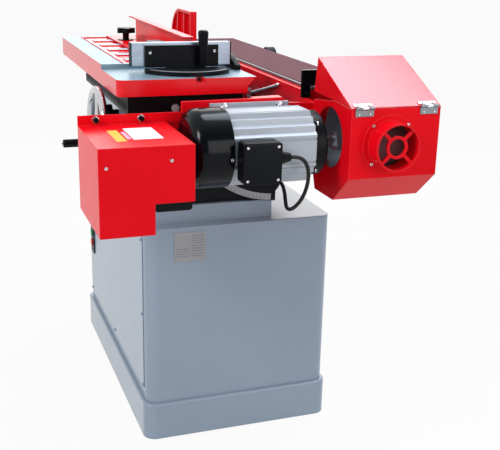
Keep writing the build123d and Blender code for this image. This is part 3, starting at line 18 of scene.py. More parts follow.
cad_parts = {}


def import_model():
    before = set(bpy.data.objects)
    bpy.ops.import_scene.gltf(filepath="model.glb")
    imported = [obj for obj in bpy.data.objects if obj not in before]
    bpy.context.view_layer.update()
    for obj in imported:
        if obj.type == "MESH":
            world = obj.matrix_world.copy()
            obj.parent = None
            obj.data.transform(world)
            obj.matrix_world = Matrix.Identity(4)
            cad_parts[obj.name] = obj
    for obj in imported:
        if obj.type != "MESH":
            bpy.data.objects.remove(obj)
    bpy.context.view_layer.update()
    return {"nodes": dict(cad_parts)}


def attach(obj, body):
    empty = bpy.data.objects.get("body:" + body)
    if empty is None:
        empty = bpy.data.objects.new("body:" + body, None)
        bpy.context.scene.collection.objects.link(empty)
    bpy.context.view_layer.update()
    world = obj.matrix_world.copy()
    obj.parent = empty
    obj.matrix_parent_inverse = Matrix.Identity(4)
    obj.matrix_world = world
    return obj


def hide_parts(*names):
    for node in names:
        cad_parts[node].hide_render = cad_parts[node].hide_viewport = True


log = logging.getLogger("edge_sander")

Pair = tuple[float, float]
Point = tuple[float, float, float]
Colour = tuple[float, float, float]
Seat = tuple[Point, Point]
Socket = bpy.types.NodeSocket
Piece = bpy.types.Object

ORIGIN: Point = (0.0, 0.0, 0.0)
ALONG_X: Point = (1.0, 0.0, 0.0)
ALONG_Y: Point = (0.0, 1.0, 0.0)
ALONG_Z: Point = (0.0, 0.0, 1.0)
TO_OPERATOR: Point = (0.0, -1.0, 0.0)
EVENLY: Point = (1.0, 1.0, 1.0)
WHITE: Colour = (1.0, 1.0, 1.0)
SAME_WAY = 0.99  # cosine above which two ways count as one
SMOOTH_BELOW = math.radians(40.0)
CORNER_STEPS = 4
BAND_ROUNDING = 0.0002
SPECK = 0.001  # side of the plane that is merged into the first vertex of a chain
WELD = 0.00002


class Body(str, Enum):
    """Moving bodies that the fittings ride on."""

    BASE = "base"
    TABLE = "table"
    HEAD = "head"
    LID = "lid"
    TILT = "tilt_carriage"
    MITRE = "mitre"
    HANDWHEEL = "handwheel"


class Slot(str, Enum):
    """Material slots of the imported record."""

    RED = "red_paint"
    BLACK = "black_paint"
    STEEL = "steel"
    CHROME = "chrome"
    ALUMINIUM = "aluminium"
    PLASTIC = "black_plastic"
    CABLE = "cable_rubber"


@dataclass(frozen=True)
class HeadForm:
    """Form of a screw head: its facets, and shares of its radius and height."""

    facets: int
    inset: float
    rise: float
    recess: float
    recess_wall: float = 0.12
    rounding: float = 0.10


class Head(Enum):
    """Kinds of screw head."""

    HEX = HeadForm(6, 0.30, 0.12, 0.0)
    SOCKET = HeadForm(20, 0.42, 0.0, 0.55)
    PAN = HeadForm(20, 0.30, 0.25, 0.55)


def corners(low: Point, high: Point, inset: float) -> list[Pair]:
    """Places in the four corners of a plate that looks along X.

    Args:
        low: Lowest corner of the plate.
        high: Highest corner of the plate.
        inset: Distance from its edges.

    Returns:
        The places, across and up.
    """
    across = (low[1] + inset, high[1] - inset)
    up = (low[2] + inset, high[2] - inset)
    return [(y, z) for y in across for z in up]


def quarters(start: float) -> list[Pair]:
    """Cosine and sine of four angles a quarter turn apart, the first one given in degrees."""
    turns = [math.radians(start + 90.0 * number) for number in range(4)]
    return [(math.cos(turn), math.sin(turn)) for turn in turns]


def turned_to(place: Point, way: Point) -> Matrix:
    """Move that carries a piece from the origin to a place, and its Z axis to a way."""
    turn = Vector(ALONG_Z).rotation_difference(Vector(way)).to_matrix().to_4x4()
    return Matrix.Translation(place) @ turn


# Node trees and finishes


def opaque(colour: Colour) -> tuple[float, float, float, float]:
    """A colour with full opacity, as a node takes it."""
    return (*colour, 1.0)


class Nodes:
    """The nodes of one tree, added together with their inputs."""

    def __init__(self, tree: bpy.types.NodeTree) -> None:
        """Work on the tree of a material or of the world."""
        self.tree = tree

    def feed(self, node: bpy.types.Node, key: str | int, value: object) -> None:
        """Set or link one input of a node.

        Args:
            node: Node to feed.
            key: Name or number of the input.
            value: A constant, or an output socket to link.
        """
        if isinstance(value, Socket):
            self.tree.links.new(value, node.inputs[key])
        else:
            node.inputs[key].default_value = value

    def add(self, kind: str, inputs: dict[str | int, object], **settings: object) -> bpy.types.Node:
        """Add one node.

        Args:
            kind: Blender's name of the node.
            inputs: Values or sockets by input.
            settings: Properties of the node.

        Returns:
            The node.
        """
        node = self.tree.nodes.new(kind)
        for name, value in settings.items():
            setattr(node, name, value)
        for key, value in inputs.items():
            self.feed(node, key, value)
        return node

    def maths(self, operation: str, first: Socket | float, second: Socket | float) -> Socket:
        """Result of a named operation on two numbers, each linked or constant."""
        return self.add("ShaderNodeMath", {0: first, 1: second}, operation=operation).outputs[0]

    def both(self, first: Socket, second: Socket) -> Socket:
        """One where two tests hold, and nought elsewhere."""
        return self.maths("MULTIPLY", first, second)

    def over(self, number: Socket, limit: float) -> Socket:
        """One where a number is over a limit, and nought elsewhere."""
        return self.maths("GREATER_THAN", number, limit)

    def under(self, number: Socket, limit: float) -> Socket:
        """One where a number is under a limit, and nought elsewhere."""
        return self.maths("LESS_THAN", number, limit)

    def spread(
        self, fac: Socket, low: float, high: float, start: float = 0.0, end: float = 1.0
    ) -> Socket:
        """A number moved from one range to another, and held at its ends.

        Args:
            fac: Number to read.
            low: Value at the start.
            high: Value at the end.
            start: Start of the range that is read.
            end: End of the range that is read.

        Returns:
            The value.
        """
        names = ("Value", "From Min", "From Max", "To Min", "To Max")
        inputs = dict(zip(names, (fac, start, end, low, high)))
        return self.add("ShaderNodeMapRange", inputs).outputs["Result"]

    def ramp(self, fac: Socket, ends: Pair, first: Colour, last: Colour) -> Socket:
        """A colour that runs from one to another along a number.

        Args:
            fac: Number to read.
            ends: Where the run starts and where it ends.
            first: Colour at the start.
            last: Colour at the end.

        Returns:
            The colour.
        """
        node = self.add("ShaderNodeValToRGB", {"Fac": fac})
        for element, place, colour in zip(node.color_ramp.elements, ends, (first, last)):
            element.position = place
            element.color = opaque(colour)
        return node.outputs["Color"]

    def axis(self, vector: Socket, name: str) -> Socket:
        """One component of a vector, named X, Y or Z."""
        return self.add("ShaderNodeSeparateXYZ", {"Vector": vector}).outputs[name]

    def seen(self) -> Socket:
        """Tell the rays that show a surface from those that only carry light.

        Returns:
            One for rays from the eye, from a mirror or through glass, and nought for the rest.
        """
        path = self.add("ShaderNodeLightPath", {}).outputs
        either = self.maths("MAXIMUM", path["Is Camera Ray"], path["Is Glossy Ray"])
        return self.maths("MAXIMUM", either, path["Is Transmission Ray"])


class Shade(Nodes):
    """A node material under construction, with a principled shader."""

    bevel_samples = 6
    # Band of bevel normals that marks edges for their lighter colour: partly thinner paint, partly
    # a painted highlight
    thin_edge_and_highlight_range = (0.995, 0.80)
    cloud_scale = 9.0
    cloud_detail = 4.0
    cloud_range = (0.35, 0.65)

    def __init__(self, name: str) -> None:
        """Start an empty material.

        Args:
            name: Name of the finish.
        """
        self.material = bpy.data.materials.new(name)
        self.material.use_nodes = True
        super().__init__(self.material.node_tree)
        self.shader = self.tree.nodes["Principled BSDF"]
        coords = self.add("ShaderNodeTexCoord", {}).outputs
        self.place = coords["Object"]
        self.facing = coords["Normal"]

    def put(self, socket: str, value: object) -> None:
        """Feed one named input of the shader with a constant or an output socket."""
        self.feed(self.shader, socket, value)

    def noise(self, scale: float, detail: float = 3.0, stretch: Point = EVENLY) -> Socket:
        """Soft noise in object space.

        Args:
            scale: Waves per metre.
            detail: Octaves of finer noise.
            stretch: Scale along X, Y and Z, for grain that runs one way.

        Returns:
            The noise as a number from 0 to 1.
        """
        run = self.add("ShaderNodeMapping", {"Vector": self.place, "Scale": stretch})
        inputs = {"Vector": run.outputs["Vector"], "Scale": scale, "Detail": detail}
        return self.add("ShaderNodeTexNoise", inputs).outputs["Fac"]

    def grit(self, scale: float) -> Socket:
        """Distance to the nearest grain of a packed grit, with so many grains per metre."""
        inputs = {"Vector": self.place, "Scale": scale}
        return self.add("ShaderNodeTexVoronoi", inputs).outputs["Distance"]

    def coat(self, colour: Colour, shade: Colour) -> Socket:
        """Paint that clouds softly between a colour and its shade."""
        cloud = self.noise(self.cloud_scale, self.cloud_detail)
        return self.ramp(cloud, self.cloud_range, shade, colour)

    def mix(self, fac: Socket, first: Socket | Colour, second: Socket | Colour) -> Socket:
        """Blend two colours.

        Args:
            fac: Share of the second colour.
            first: Colour at 0.
            second: Colour at 1.

        Returns:
            The blended colour.
        """
        pair = [value if isinstance(value, Socket) else opaque(value) for value in (first, second)]
        inputs = dict(zip((0, 6, 7), (fac, *pair)))
        return self.add("ShaderNodeMix", inputs, data_type="RGBA").outputs[2]

    def rounded(self, radius: float) -> Socket:
        """Normals that soften the edges of a solid to a radius."""
        inputs = {"Radius": radius}
        return self.add("ShaderNodeBevel", inputs, samples=self.bevel_samples).outputs["Normal"]

    def edge(self, radius: float) -> Socket:
        """Share of an edge at each point, for edges lightened partly as thinner paint and partly as
        a painted highlight.

        Args:
            radius: Width of the band along an edge.

        Returns:
            About 1 on an edge and 0 on a flat face.
        """
        flat = self.add("ShaderNodeNewGeometry", {}).outputs["Normal"]
        pair = {0: flat, 1: self.rounded(radius)}
        dot = self.add("ShaderNodeVectorMath", pair, operation="DOT_PRODUCT").outputs["Value"]
        return self.spread(dot, 0.0, 1.0, *self.thin_edge_and_highlight_range)

    def bump(self, height: Socket, strength: float, distance: float, softened: float) -> None:
        """Give the shader a fine relief over softened edges.

        Args:
            height: Relief from 0 to 1.
            strength: Share of the relief.
            distance: Depth of the relief.
            softened: Radius of the edges.
        """
        normal = self.rounded(softened)
        inputs = {"Height": height, "Strength": strength, "Distance": distance, "Normal": normal}
        self.put("Normal", self.add("ShaderNodeBump", inputs).outputs["Normal"])

    def roughen(self, fac: Socket, middle: float, haze: Pair) -> None:
        """Let the roughness run below and above a middle value, along a number."""
        low, high = haze
        self.put("Roughness", self.spread(fac, middle + low, middle + high))


@dataclass(frozen=True)
class Finish:
    """A kind of finish, which lays itself on a new material."""

    name: str

    def lay(self, made: Shade) -> None:
        """Build the node tree of the finish."""
        raise NotImplementedError

    def material(self) -> bpy.types.Material:
        """Make the material.

        Returns:
            The finished material.
        """
        made = Shade(self.name)
        self.lay(made)
        return made.material


@dataclass(frozen=True)
class GlossPaint(Finish):
    """Sprayed enamel with orange peel, and edges that are lighter partly from thinner paint and
    partly as a painted highlight.
    """

    colour: Colour
    shade: Colour
    # Lighter colour of the edges: partly thinner paint, partly a painted highlight
    edge: Colour
    roughness: float = 0.26
    specular: float = 0.5
    softened: float = 0.0025
    peel: float = 0.05
    peel_scale: float = 260.0
    peel_detail: float = 2.0
    peel_depth: float = 0.0005
    haze_scale: float = 60.0
    haze: Pair = (-0.02, 0.03)

    def lay(self, made: Shade) -> None:
        """Lay the coat with its lighter edges (thinner paint and a painted highlight), its haze and
        its peel.

        Args:
            made: Material under construction.
        """
        coat = made.coat(self.colour, self.shade)
        # Edges take the lighter colour: partly thinner paint, partly a painted highlight
        made.put("Base Color", made.mix(made.edge(self.softened), coat, self.edge))
        made.roughen(made.noise(self.haze_scale), self.roughness, self.haze)
        made.put("Specular IOR Level", self.specular)
        peel = made.noise(self.peel_scale, self.peel_detail)
        made.bump(peel, self.peel, self.peel_depth, self.softened)


@dataclass(frozen=True)
class Metal(Finish):
    """Bare metal with a grain that runs one way."""

    colour: Colour
    shade: Colour
    roughness: float
    stretch: Point = EVENLY
    grain: float = 240.0
    metallic: float = 1.0
    relief: float = 0.12
    softened: float = 0.001
    depth: float = 0.0003
    detail: float = 5.0
    contrast: Pair = (0.3, 0.7)
    haze: Pair = (-0.05, 0.08)

    def lay(self, made: Shade) -> None:
        """Lay the grain, in colour, roughness and relief.

        Args:
            made: Material under construction.
        """
        lines = made.noise(self.grain, self.detail, self.stretch)
        made.put("Base Color", made.ramp(lines, self.contrast, self.shade, self.colour))
        made.put("Metallic", self.metallic)
        made.roughen(lines, self.roughness, self.haze)
        made.bump(lines, self.relief, self.depth, self.softened)


@dataclass(frozen=True)
class Moulded(Finish):
    """Moulded plastic, rubber or print with a fine eroded grain."""

    colour: Colour
    shade: Colour
    roughness: float = 0.5
    grain: float = 1400.0
    relief: float = 0.12
    softened: float = 0.0012
    specular: float = 0.5
    depth: float = 0.0003
    detail: float = 2.0
    contrast: Pair = (0.35, 0.7)
    haze_scale: float = 45.0
    haze: Pair = (-0.08, 0.08)

    def lay(self, made: Shade) -> None:
        """Lay the speckled skin.

        Args:
            made: Material under construction.
        """
        speck = made.noise(self.grain, self.detail)
        made.put("Base Color", made.ramp(speck, self.contrast, self.shade, self.colour))
        made.roughen(made.noise(self.haze_scale), self.roughness, self.haze)
        made.put("Specular IOR Level", self.specular)
        made.bump(speck, self.relief, self.depth, self.softened)


@dataclass(frozen=True)
class Abrasive(Finish):
    """Resin-bonded grit on a cloth belt, darker in the worn lanes along the belt."""

    colour: Colour
    shade: Colour
    worn: Colour
    grains: float = 1500.0
    lane_scale: float = 30.0
    lane_stretch: Point = (0.06, 1.0, 1.0)
    wear: float = 0.55
    specular: float = 0.05
    contrast: Pair = (0.1, 0.6)
    roughness: Pair = (0.70, 0.85)
    relief: float = 0.5
    depth: float = 0.0004
    softened: float = 0.0005

    def lay(self, made: Shade) -> None:
        """Lay the grit and wear it along the belt.

        Args:
            made: Material under construction.
        """
        grains = made.grit(self.grains)
        lanes = made.noise(self.lane_scale, stretch=self.lane_stretch)
        grit = made.ramp(grains, self.contrast, self.shade, self.colour)
        made.put("Base Color", made.mix(made.spread(lanes, 0.0, self.wear), grit, self.worn))
        made.put("Roughness", made.spread(lanes, *self.roughness))
        made.put("Specular IOR Level", self.specular)
        made.bump(grains, self.relief, self.depth, self.softened)


@dataclass(frozen=True)
class TableFinish(Finish):
    """Red enamel on the table's sides and field, ground iron on its working faces and pads."""

    paint: Colour
    paint_shade: Colour
    iron: Colour
    iron_shade: Colour
    top: float = 0.8796
    ledge_top: float = 0.8685
    ledge_start: float = 0.1648
    ledge_step: float = 0.1655
    field_x: Pair = (-0.4249, 0.1519)
    field_y: Pair = (-0.146, 0.0259)
    level_from: float = 0.7
    grain: float = 420.0
    grain_stretch: Point = (0.05, 1.0, 1.0)
    grain_detail: float = 5.0
    contrast: Pair = (0.3, 0.7)
    metallic: float = 0.55
    specular: float = 0.40
    roughness: Pair = (0.30, 0.46)
    paint_gloss: float = 0.45
    relief: float = 0.08
    depth: float = 0.0003
    softened: float = 0.0016

    def ground(self, made: Shade) -> Socket:
        """Tell the ground faces from the painted ones by their place and way.

        Args:
            made: Material under construction.

        Returns:
            One on ground iron and nought on paint.
        """
        along, across, height = (made.axis(made.place, name) for name in "XYZ")
        level = made.over(made.axis(made.facing, "Z"), self.level_from)
        painted = level
        for place, (start, end) in ((along, self.field_x), (across, self.field_y)):
            painted = made.both(painted, made.both(made.over(place, start), made.under(place, end)))
        top = made.both(level, made.over(height, self.top))
        top = made.both(top, made.maths("SUBTRACT", 1.0, painted))
        ledge = made.both(made.over(along, self.ledge_start), made.over(height, self.ledge_top))
        ledge = made.both(ledge, made.maths("MAXIMUM", level, made.under(along, self.ledge_step)))
        return made.maths("MAXIMUM", top, ledge)

    def lay(self, made: Shade) -> None:
        """Lay enamel or ground iron on each face.

        Args:
            made: Material under construction.
        """
        ground = self.ground(made)
        lines = made.noise(self.grain, self.grain_detail, self.grain_stretch)
        iron = made.ramp(lines, self.contrast, self.iron_shade, self.iron)
        made.put("Base Color", made.mix(ground, made.coat(self.paint, self.paint_shade), iron))
        made.put("Metallic", made.spread(ground, 0.0, self.metallic))
        rough = made.spread(lines, *self.roughness)
        gloss = made.spread(ground, self.paint_gloss, 1.0)
        made.put("Roughness", made.maths("MULTIPLY", rough, gloss))
        made.put("Specular IOR Level", self.specular)
        made.bump(lines, self.relief, self.depth, self.softened)


@dataclass(frozen=True)
class Backdrop(Finish):
    """Plain pale studio ground that keeps a soft shadow."""

    name: str = "studio_ground"
    share: float = 0.93
    pale: Colour = (0.50, 0.50, 0.50)
    light: Colour = (0.54, 0.54, 0.54)
    cloud_scale: float = 3.0
    contrast: Pair = (0.4, 0.6)
    haze_scale: float = 20.0
    roughness: Pair = (0.75, 0.85)

    def lay(self, made: Shade) -> None:
        """Lay the pale ground, and let it glow to white where it is seen.

        Args:
            made: Material under construction.
        """
        cloud = made.noise(self.cloud_scale)
        made.put("Base Color", made.ramp(cloud, self.contrast, self.pale, self.light))
        made.put("Roughness", made.spread(made.noise(self.haze_scale), *self.roughness))
        glow = made.add("ShaderNodeEmission", {"Color": opaque(WHITE), "Strength": 1.0})
        share = made.maths("MULTIPLY", made.seen(), self.share)
        inputs = {0: share, 1: made.shader.outputs["BSDF"], 2: glow.outputs["Emission"]}
        blend = made.add("ShaderNodeMixShader", inputs)
        made.feed(made.tree.nodes["Material Output"], "Surface", blend.outputs["Shader"])


# Each paint has its coat, its shade, and a lighter edge colour that is partly thinner paint and
# partly a painted highlight
RED, DEEP_RED = (0.74, 0.003, 0.010), (0.71, 0.0025, 0.009)
BLACK, DEEP_BLACK = (0.002, 0.0030, 0.0048), (0.0016, 0.0024, 0.004)
REDS = (RED, DEEP_RED, (0.82, 0.04, 0.05))
GREYS = ((0.25, 0.315, 0.40), (0.242, 0.306, 0.39), (0.36, 0.44, 0.53))
BLACKS = (BLACK, DEEP_BLACK, (0.012, 0.014, 0.018))

RUN_X, RUN_Y, RUN_ROUND = (0.1, 1.0, 1.0), (1.0, 0.04, 1.0), (0.05, 1.0, 0.05)
PRINT = {"roughness": 0.45, "grain": 300.0, "relief": 0.04, "softened": 0.0004, "specular": 0.3}

SOLIDS = {
    "grey_enamel": "plinth cabinet pedestal service_panel",
    "red_enamel": "head_casting motor_plate gear_cover hood end_table fence dust_port",
    "lid_enamel": "hood_lid",
    "black_enamel": "fan_cover work_stop",
    "black_casting": "trunnions tilt_carriage table_saddle gearbox mitre_body motor_end_bell",
    "table_finish": "table",
    "ground_steel": (
        "pivot_pins guide_rods lift_columns lift_screw handwheel_shaft oscillation_link"
        " eccentric_wheel motor_bearings idler_yoke mitre_bar wheel_bearing motor_rotor"
    ),
    "dull_steel": "platen hood_hinge_leaves",
    "zinc_plate": "lid_hinge_leaves",
    "bronze": "column_bushes lift_nut_gear",
    "laminations": "stator",
    "chrome_plate": "handwheel tension_lever",
    "drawn_aluminium": "motor_housing",
    "mitre_aluminium": "mitre_fence",
    "cast_aluminium": "drive_drum idler_drum",
    "black_plastic": (
        "terminal_box cable_glands switch_housing tilt_lock_lever table_lock_knob fence_knob_far"
        " fence_knob_near mitre_handle handwheel_grip tracking_knob cooling_fan"
    ),
    "green_plastic": "start_button",
    "red_plastic": "stop_button",
    "abrasive_grit": "sanding_belt",
    "cable_sheath": "motor_cable",
}


@dataclass
class Finishes:
    """All finishes of the machine, made once."""

    kinds: tuple[Finish, ...] = (
        GlossPaint("red_enamel", *REDS, roughness=0.24, specular=0.08),
        GlossPaint("lid_enamel", *REDS, roughness=0.24, specular=0.47, peel=0.07),
        GlossPaint("grey_enamel", *GREYS, roughness=0.18, softened=0.003, peel=0.03),
        GlossPaint(
            "black_enamel", *BLACKS, roughness=0.15, specular=0.14, softened=0.003, peel=0.02
        ),
        GlossPaint(
            "black_casting", *BLACKS,
            roughness=0.40, specular=0.12, softened=0.002, peel=0.25, peel_scale=500.0,
        ),
        Metal("ground_steel", (0.60, 0.61, 0.63), (0.46, 0.47, 0.49), 0.30, RUN_X),
        Metal("dull_steel", (0.26, 0.28, 0.30), (0.20, 0.22, 0.24), 0.50, RUN_X),
        Metal(
            "chrome_plate", (0.62, 0.62, 0.64), (0.55, 0.55, 0.57), 0.10, grain=40.0, relief=0.02
        ),
        Metal(
            "drawn_aluminium", (0.38, 0.41, 0.46), (0.34, 0.37, 0.415), 0.45, RUN_Y,
            grain=320.0, metallic=0.40, relief=0.06,
        ),
        Metal(
            "mitre_aluminium", (0.42, 0.50, 0.60), (0.33, 0.40, 0.49), 0.34, RUN_Y,
            grain=320.0, metallic=0.85, relief=0.08,
        ),
        Metal(
            "cast_aluminium", (0.55, 0.60, 0.66), (0.42, 0.47, 0.52), 0.38,
            grain=300.0, metallic=0.8,
        ),
        Metal(
            "zinc_plate", (0.62, 0.62, 0.64), (0.52, 0.52, 0.54), 0.22, grain=180.0, relief=0.05
        ),
        Metal(
            "rating_aluminium", (0.31, 0.31, 0.33), (0.27, 0.27, 0.29), 0.45, RUN_Y,
            grain=500.0, metallic=0.4, relief=0.04,
        ),
        Metal("bronze", (0.50, 0.33, 0.14), (0.38, 0.24, 0.10), 0.35),
        Metal(
            "laminations", (0.20, 0.20, 0.22), (0.12, 0.12, 0.13), 0.45, RUN_ROUND, grain=900.0
        ),
        Moulded("black_plastic", BLACK, DEEP_BLACK, 0.36, specular=0.12),
        Moulded("green_plastic", (0.03, 0.30, 0.09), (0.02, 0.22, 0.07), 0.35),
        Moulded("red_plastic", (0.62, 0.02, 0.02), (0.50, 0.015, 0.015), 0.35),
        Moulded(
            "cable_sheath", (0.006, 0.006, 0.007), (0.004, 0.004, 0.005), 0.45,
            grain=900.0, relief=0.20, specular=0.3,
        ),
        Moulded(
            "ink", (0.12, 0.12, 0.13), (0.10, 0.10, 0.11), 0.5,
            grain=600.0, relief=0.05, softened=0.0003,
        ),
        Moulded("white_label", (0.80, 0.79, 0.85), (0.74, 0.73, 0.79), **PRINT),
        Moulded("pink_label", (0.72, 0.42, 0.55), (0.66, 0.36, 0.48), **PRINT),
        Moulded("yellow_label", (0.78, 0.47, 0.02), (0.70, 0.41, 0.015), **PRINT),
        Abrasive("abrasive_grit", (0.17, 0.075, 0.085), (0.08, 0.03, 0.04), (0.14, 0.065, 0.078)),
        TableFinish("table_finish", RED, DEEP_RED, (0.25, 0.355, 0.43), (0.20, 0.295, 0.36)),
    )
    made: dict[str, bpy.types.Material] = field(default_factory=dict)

    def __post_init__(self) -> None:
        """Make every material."""
        for kind in self.kinds:
            self.made[kind.name] = kind.material()

    def on(self, piece: Piece, finish: str) -> None:
        """Give a piece or a solid its one finish, by name."""
        piece.data.materials.clear()
        piece.data.materials.append(self.made[finish])

    def dress(self, nodes: dict[str, Piece]) -> None:
        """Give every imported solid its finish.

        Args:
            nodes: The solids by name.
        """
        for finish, names in SOLIDS.items():
            for name in names.split():
                self.on(nodes[name], finish)
                log.info("solid %s wears %s", name, finish)


# Modelling by hand


def let_go() -> None:
    """Leave edit mode and deselect everything."""
    if bpy.context.object is not None and bpy.context.object.mode != "OBJECT":
        bpy.ops.object.mode_set(mode="OBJECT")
    bpy.ops.object.select_all(action="DESELECT")


def hold(piece: Piece) -> None:
    """Make a piece the only selected and active one.

    Args:
        piece: Piece to hold.
    """
    let_go()
    piece.select_set(True)
    bpy.context.view_layer.objects.active = piece


def settle(piece: Piece) -> Piece:
    """Move a piece's place, turn and size into its mesh.

    Args:
        piece: Piece to settle.

    Returns:
        The same piece, at the origin.
    """
    hold(piece)
    bpy.ops.object.transform_apply(location=True, rotation=True, scale=True)
    return piece


def pick(piece: Piece, wanted: Callable[[Vector], bool], faces: bool = True) -> None:
    """Enter edit mode with only the wanted faces or edges selected.

    Args:
        piece: Piece to work on.
        wanted: Test of a face's normal or of an edge's direction.
        faces: Whether to pick faces, or else edges.
    """
    hold(piece)
    bpy.context.tool_settings.mesh_select_mode = (False, not faces, faces)
    bpy.ops.object.mode_set(mode="EDIT")
    bpy.ops.mesh.select_all(action="DESELECT")
    bpy.ops.object.mode_set(mode="OBJECT")
    if faces:
        for face in piece.data.polygons:
            face.select = wanted(face.normal)
    else:
        points = piece.data.vertices
        for edge in piece.data.edges:
            start, end = (points[number].co for number in edge.vertices)
            edge.select = wanted((end - start).normalized())
    bpy.ops.object.mode_set(mode="EDIT")


def soften(piece: Piece, width: float, segments: int = 2, angle: float = 35.0) -> Piece:
    """Round a piece's edges with an applied bevel and smooth its shading.

    Args:
        piece: Piece to round.
        width: Width of the rounding.
        segments: Number of steps across it.
        angle: Edges sharper than this many degrees are rounded.

    Returns:
        The same piece.
    """
    hold(piece)
    bevel = piece.modifiers.new("soft_edges", "BEVEL")
    bevel.width = width
    bevel.segments = segments
    bevel.limit_method = "ANGLE"
    bevel.angle_limit = math.radians(angle)
    bpy.ops.object.modifier_apply(modifier=bevel.name)
    bpy.ops.object.shade_smooth_by_angle(angle=SMOOTH_BELOW)
    return piece


@dataclass(frozen=True)
class Cut:
    """How a plate is worked.

    The corners have a radius. The field inside the border stands a step over it, or under it
    where the step is negative. The edges are rounded to a width.
    """

    corner: float
    border: float
    step: float
    width: float


def make_plate(name: str, low: Point, high: Point, way: Point, cut: Cut) -> Piece:
    """A plate with rounded corners, and a raised or sunk field inside its border.

    Args:
        name: Name of the piece.
        low: Lowest corner.
        high: Highest corner.
        way: Way that its face looks.
        cut: How it is worked.

    Returns:
        The piece.
    """
    let_go()
    bpy.ops.mesh.primitive_cube_add(size=1.0, location=[(a + b) / 2 for a, b in zip(low, high)])
    piece = bpy.context.object
    piece.name = name
    piece.scale = [b - a for a, b in zip(low, high)]
    settle(piece)
    pick(piece, lambda run: abs(run.dot(Vector(way))) > SAME_WAY, faces=False)
    bpy.ops.mesh.bevel(offset=cut.corner, segments=CORNER_STEPS, affect="EDGES")
    pick(piece, lambda normal: normal.dot(Vector(way)) > SAME_WAY)
    bpy.ops.mesh.inset(thickness=cut.border, depth=0.0)
    bpy.ops.transform.translate(value=Vector(way) * cut.step)
    bpy.ops.object.mode_set(mode="OBJECT")
    return soften(piece, cut.width)


def draw_chain(name: str, points: list[Point]) -> Piece:
    """Draw a chain of edges by extruding one vertex, and stay in edit mode.

    Args:
        name: Name of the piece.
        points: Corners of the chain.

    Returns:
        The piece, in edit mode, with its whole chain selected.
    """
    let_go()
    bpy.ops.mesh.primitive_plane_add(size=SPECK, location=points[0])
    piece = settle(bpy.context.object)
    piece.name = name
    bpy.context.tool_settings.mesh_select_mode = (True, False, False)
    bpy.ops.object.mode_set(mode="EDIT")
    bpy.ops.mesh.select_all(action="SELECT")
    bpy.ops.mesh.merge(type="CENTER")
    for before, after in zip(points, points[1:]):
        step = [b - a for a, b in zip(before, after)]
        bpy.ops.mesh.extrude_region_move(TRANSFORM_OT_translate={"value": step})
    bpy.ops.mesh.select_all(action="SELECT")
    return piece


def close_up() -> None:
    """Turn all normals of the mesh in hand outwards and leave edit mode."""
    bpy.ops.mesh.select_all(action="SELECT")
    bpy.ops.mesh.normals_make_consistent(inside=False)
    bpy.ops.object.mode_set(mode="OBJECT")


def make_prism(name: str, points: list[Point], depth: Point, width: float) -> Piece:
    """An outline drawn and extruded to a solid with rounded edges.

    Args:
        name: Name of the piece.
        points: Corners of the outline, in order.
        depth: Way and distance of the extrusion.
        width: Rounding of the edges.

    Returns:
        The piece.
    """
    piece = draw_chain(name, points)
    bpy.ops.mesh.edge_face_add()
    bpy.ops.mesh.extrude_region_move(TRANSFORM_OT_translate={"value": depth})
    close_up()
    return soften(piece, width)


def make_band(
    name: str, spot: Callable[[float, float], Point], radii: Pair, span: Pair,
    steps: int, depth: Point,
) -> Piece:
    """A thin band along an arc.

    Args:
        name: Name of the piece.
        spot: Gives the point at a radius and at an angle in degrees.
        radii: Inner and outer radius.
        span: First and last angle.
        steps: Facets along the arc.
        depth: Way and thickness of the band.

    Returns:
        The piece.
    """
    start, end = span
    sweep = [start + (end - start) * number / steps for number in range(steps + 1)]
    outline = [spot(radii[1], angle) for angle in sweep]
    outline += [spot(radii[0], angle) for angle in reversed(sweep)]
    return make_prism(name, outline, depth, BAND_ROUNDING)


def make_turned(
    name: str, centre: Point, axis: Point, profile: Sequence[Pair], steps: int = 32
) -> Piece:
    """A turned piece: a profile spun round an axis.

    Args:
        name: Name of the piece.
        centre: Point on the axis from which distances along it count.
        axis: Direction of the axis.
        profile: Pairs of distance along the axis and radius, from end to end.
        steps: Facets round the axis.

    Returns:
        The piece.
    """
    way = Vector(axis)
    side = way.orthogonal().normalized()
    points = [tuple(Vector(centre) + way * along + side * radius) for along, radius in profile]
    piece = draw_chain(name, points)
    bpy.ops.mesh.spin(steps=steps, angle=2 * math.pi, center=centre, axis=axis)
    bpy.ops.mesh.select_all(action="SELECT")
    bpy.ops.mesh.remove_doubles(threshold=WELD)
    close_up()
    hold(piece)
    bpy.ops.object.shade_smooth_by_angle(angle=SMOOTH_BELOW)
    return piece


def join_pieces(name: str, pieces: list[Piece]) -> Piece:
    """Join pieces of one kind into one.

    Args:
        name: Name of the joined piece.
        pieces: Pieces to join.

    Returns:
        The joined piece.
    """
    let_go()
    for piece in pieces:
        piece.select_set(True)
    bpy.context.view_layer.objects.active = pieces[0]
    bpy.ops.object.join()
    joined = bpy.context.object
    joined.name = name
    return joined


def copy_pieces(name: str, pattern: Piece, moves: list[Matrix]) -> Piece:
    """Copy a pattern to its places, each copy with its own mesh, and join the copies.

    Args:
        name: Name of the group.
        pattern: Piece to copy, which is then removed.
        moves: Place and turn of each copy.

    Returns:
        The joined group.
    """
    made = []
    for number, move in enumerate(moves):
        mesh = pattern.data.copy()
        mesh.transform(move)
        copy = bpy.data.objects.new(f"{name}_{number}", mesh)
        bpy.context.scene.collection.objects.link(copy)
        made.append(copy)
    bpy.data.objects.remove(pattern)
    return join_pieces(name, made)


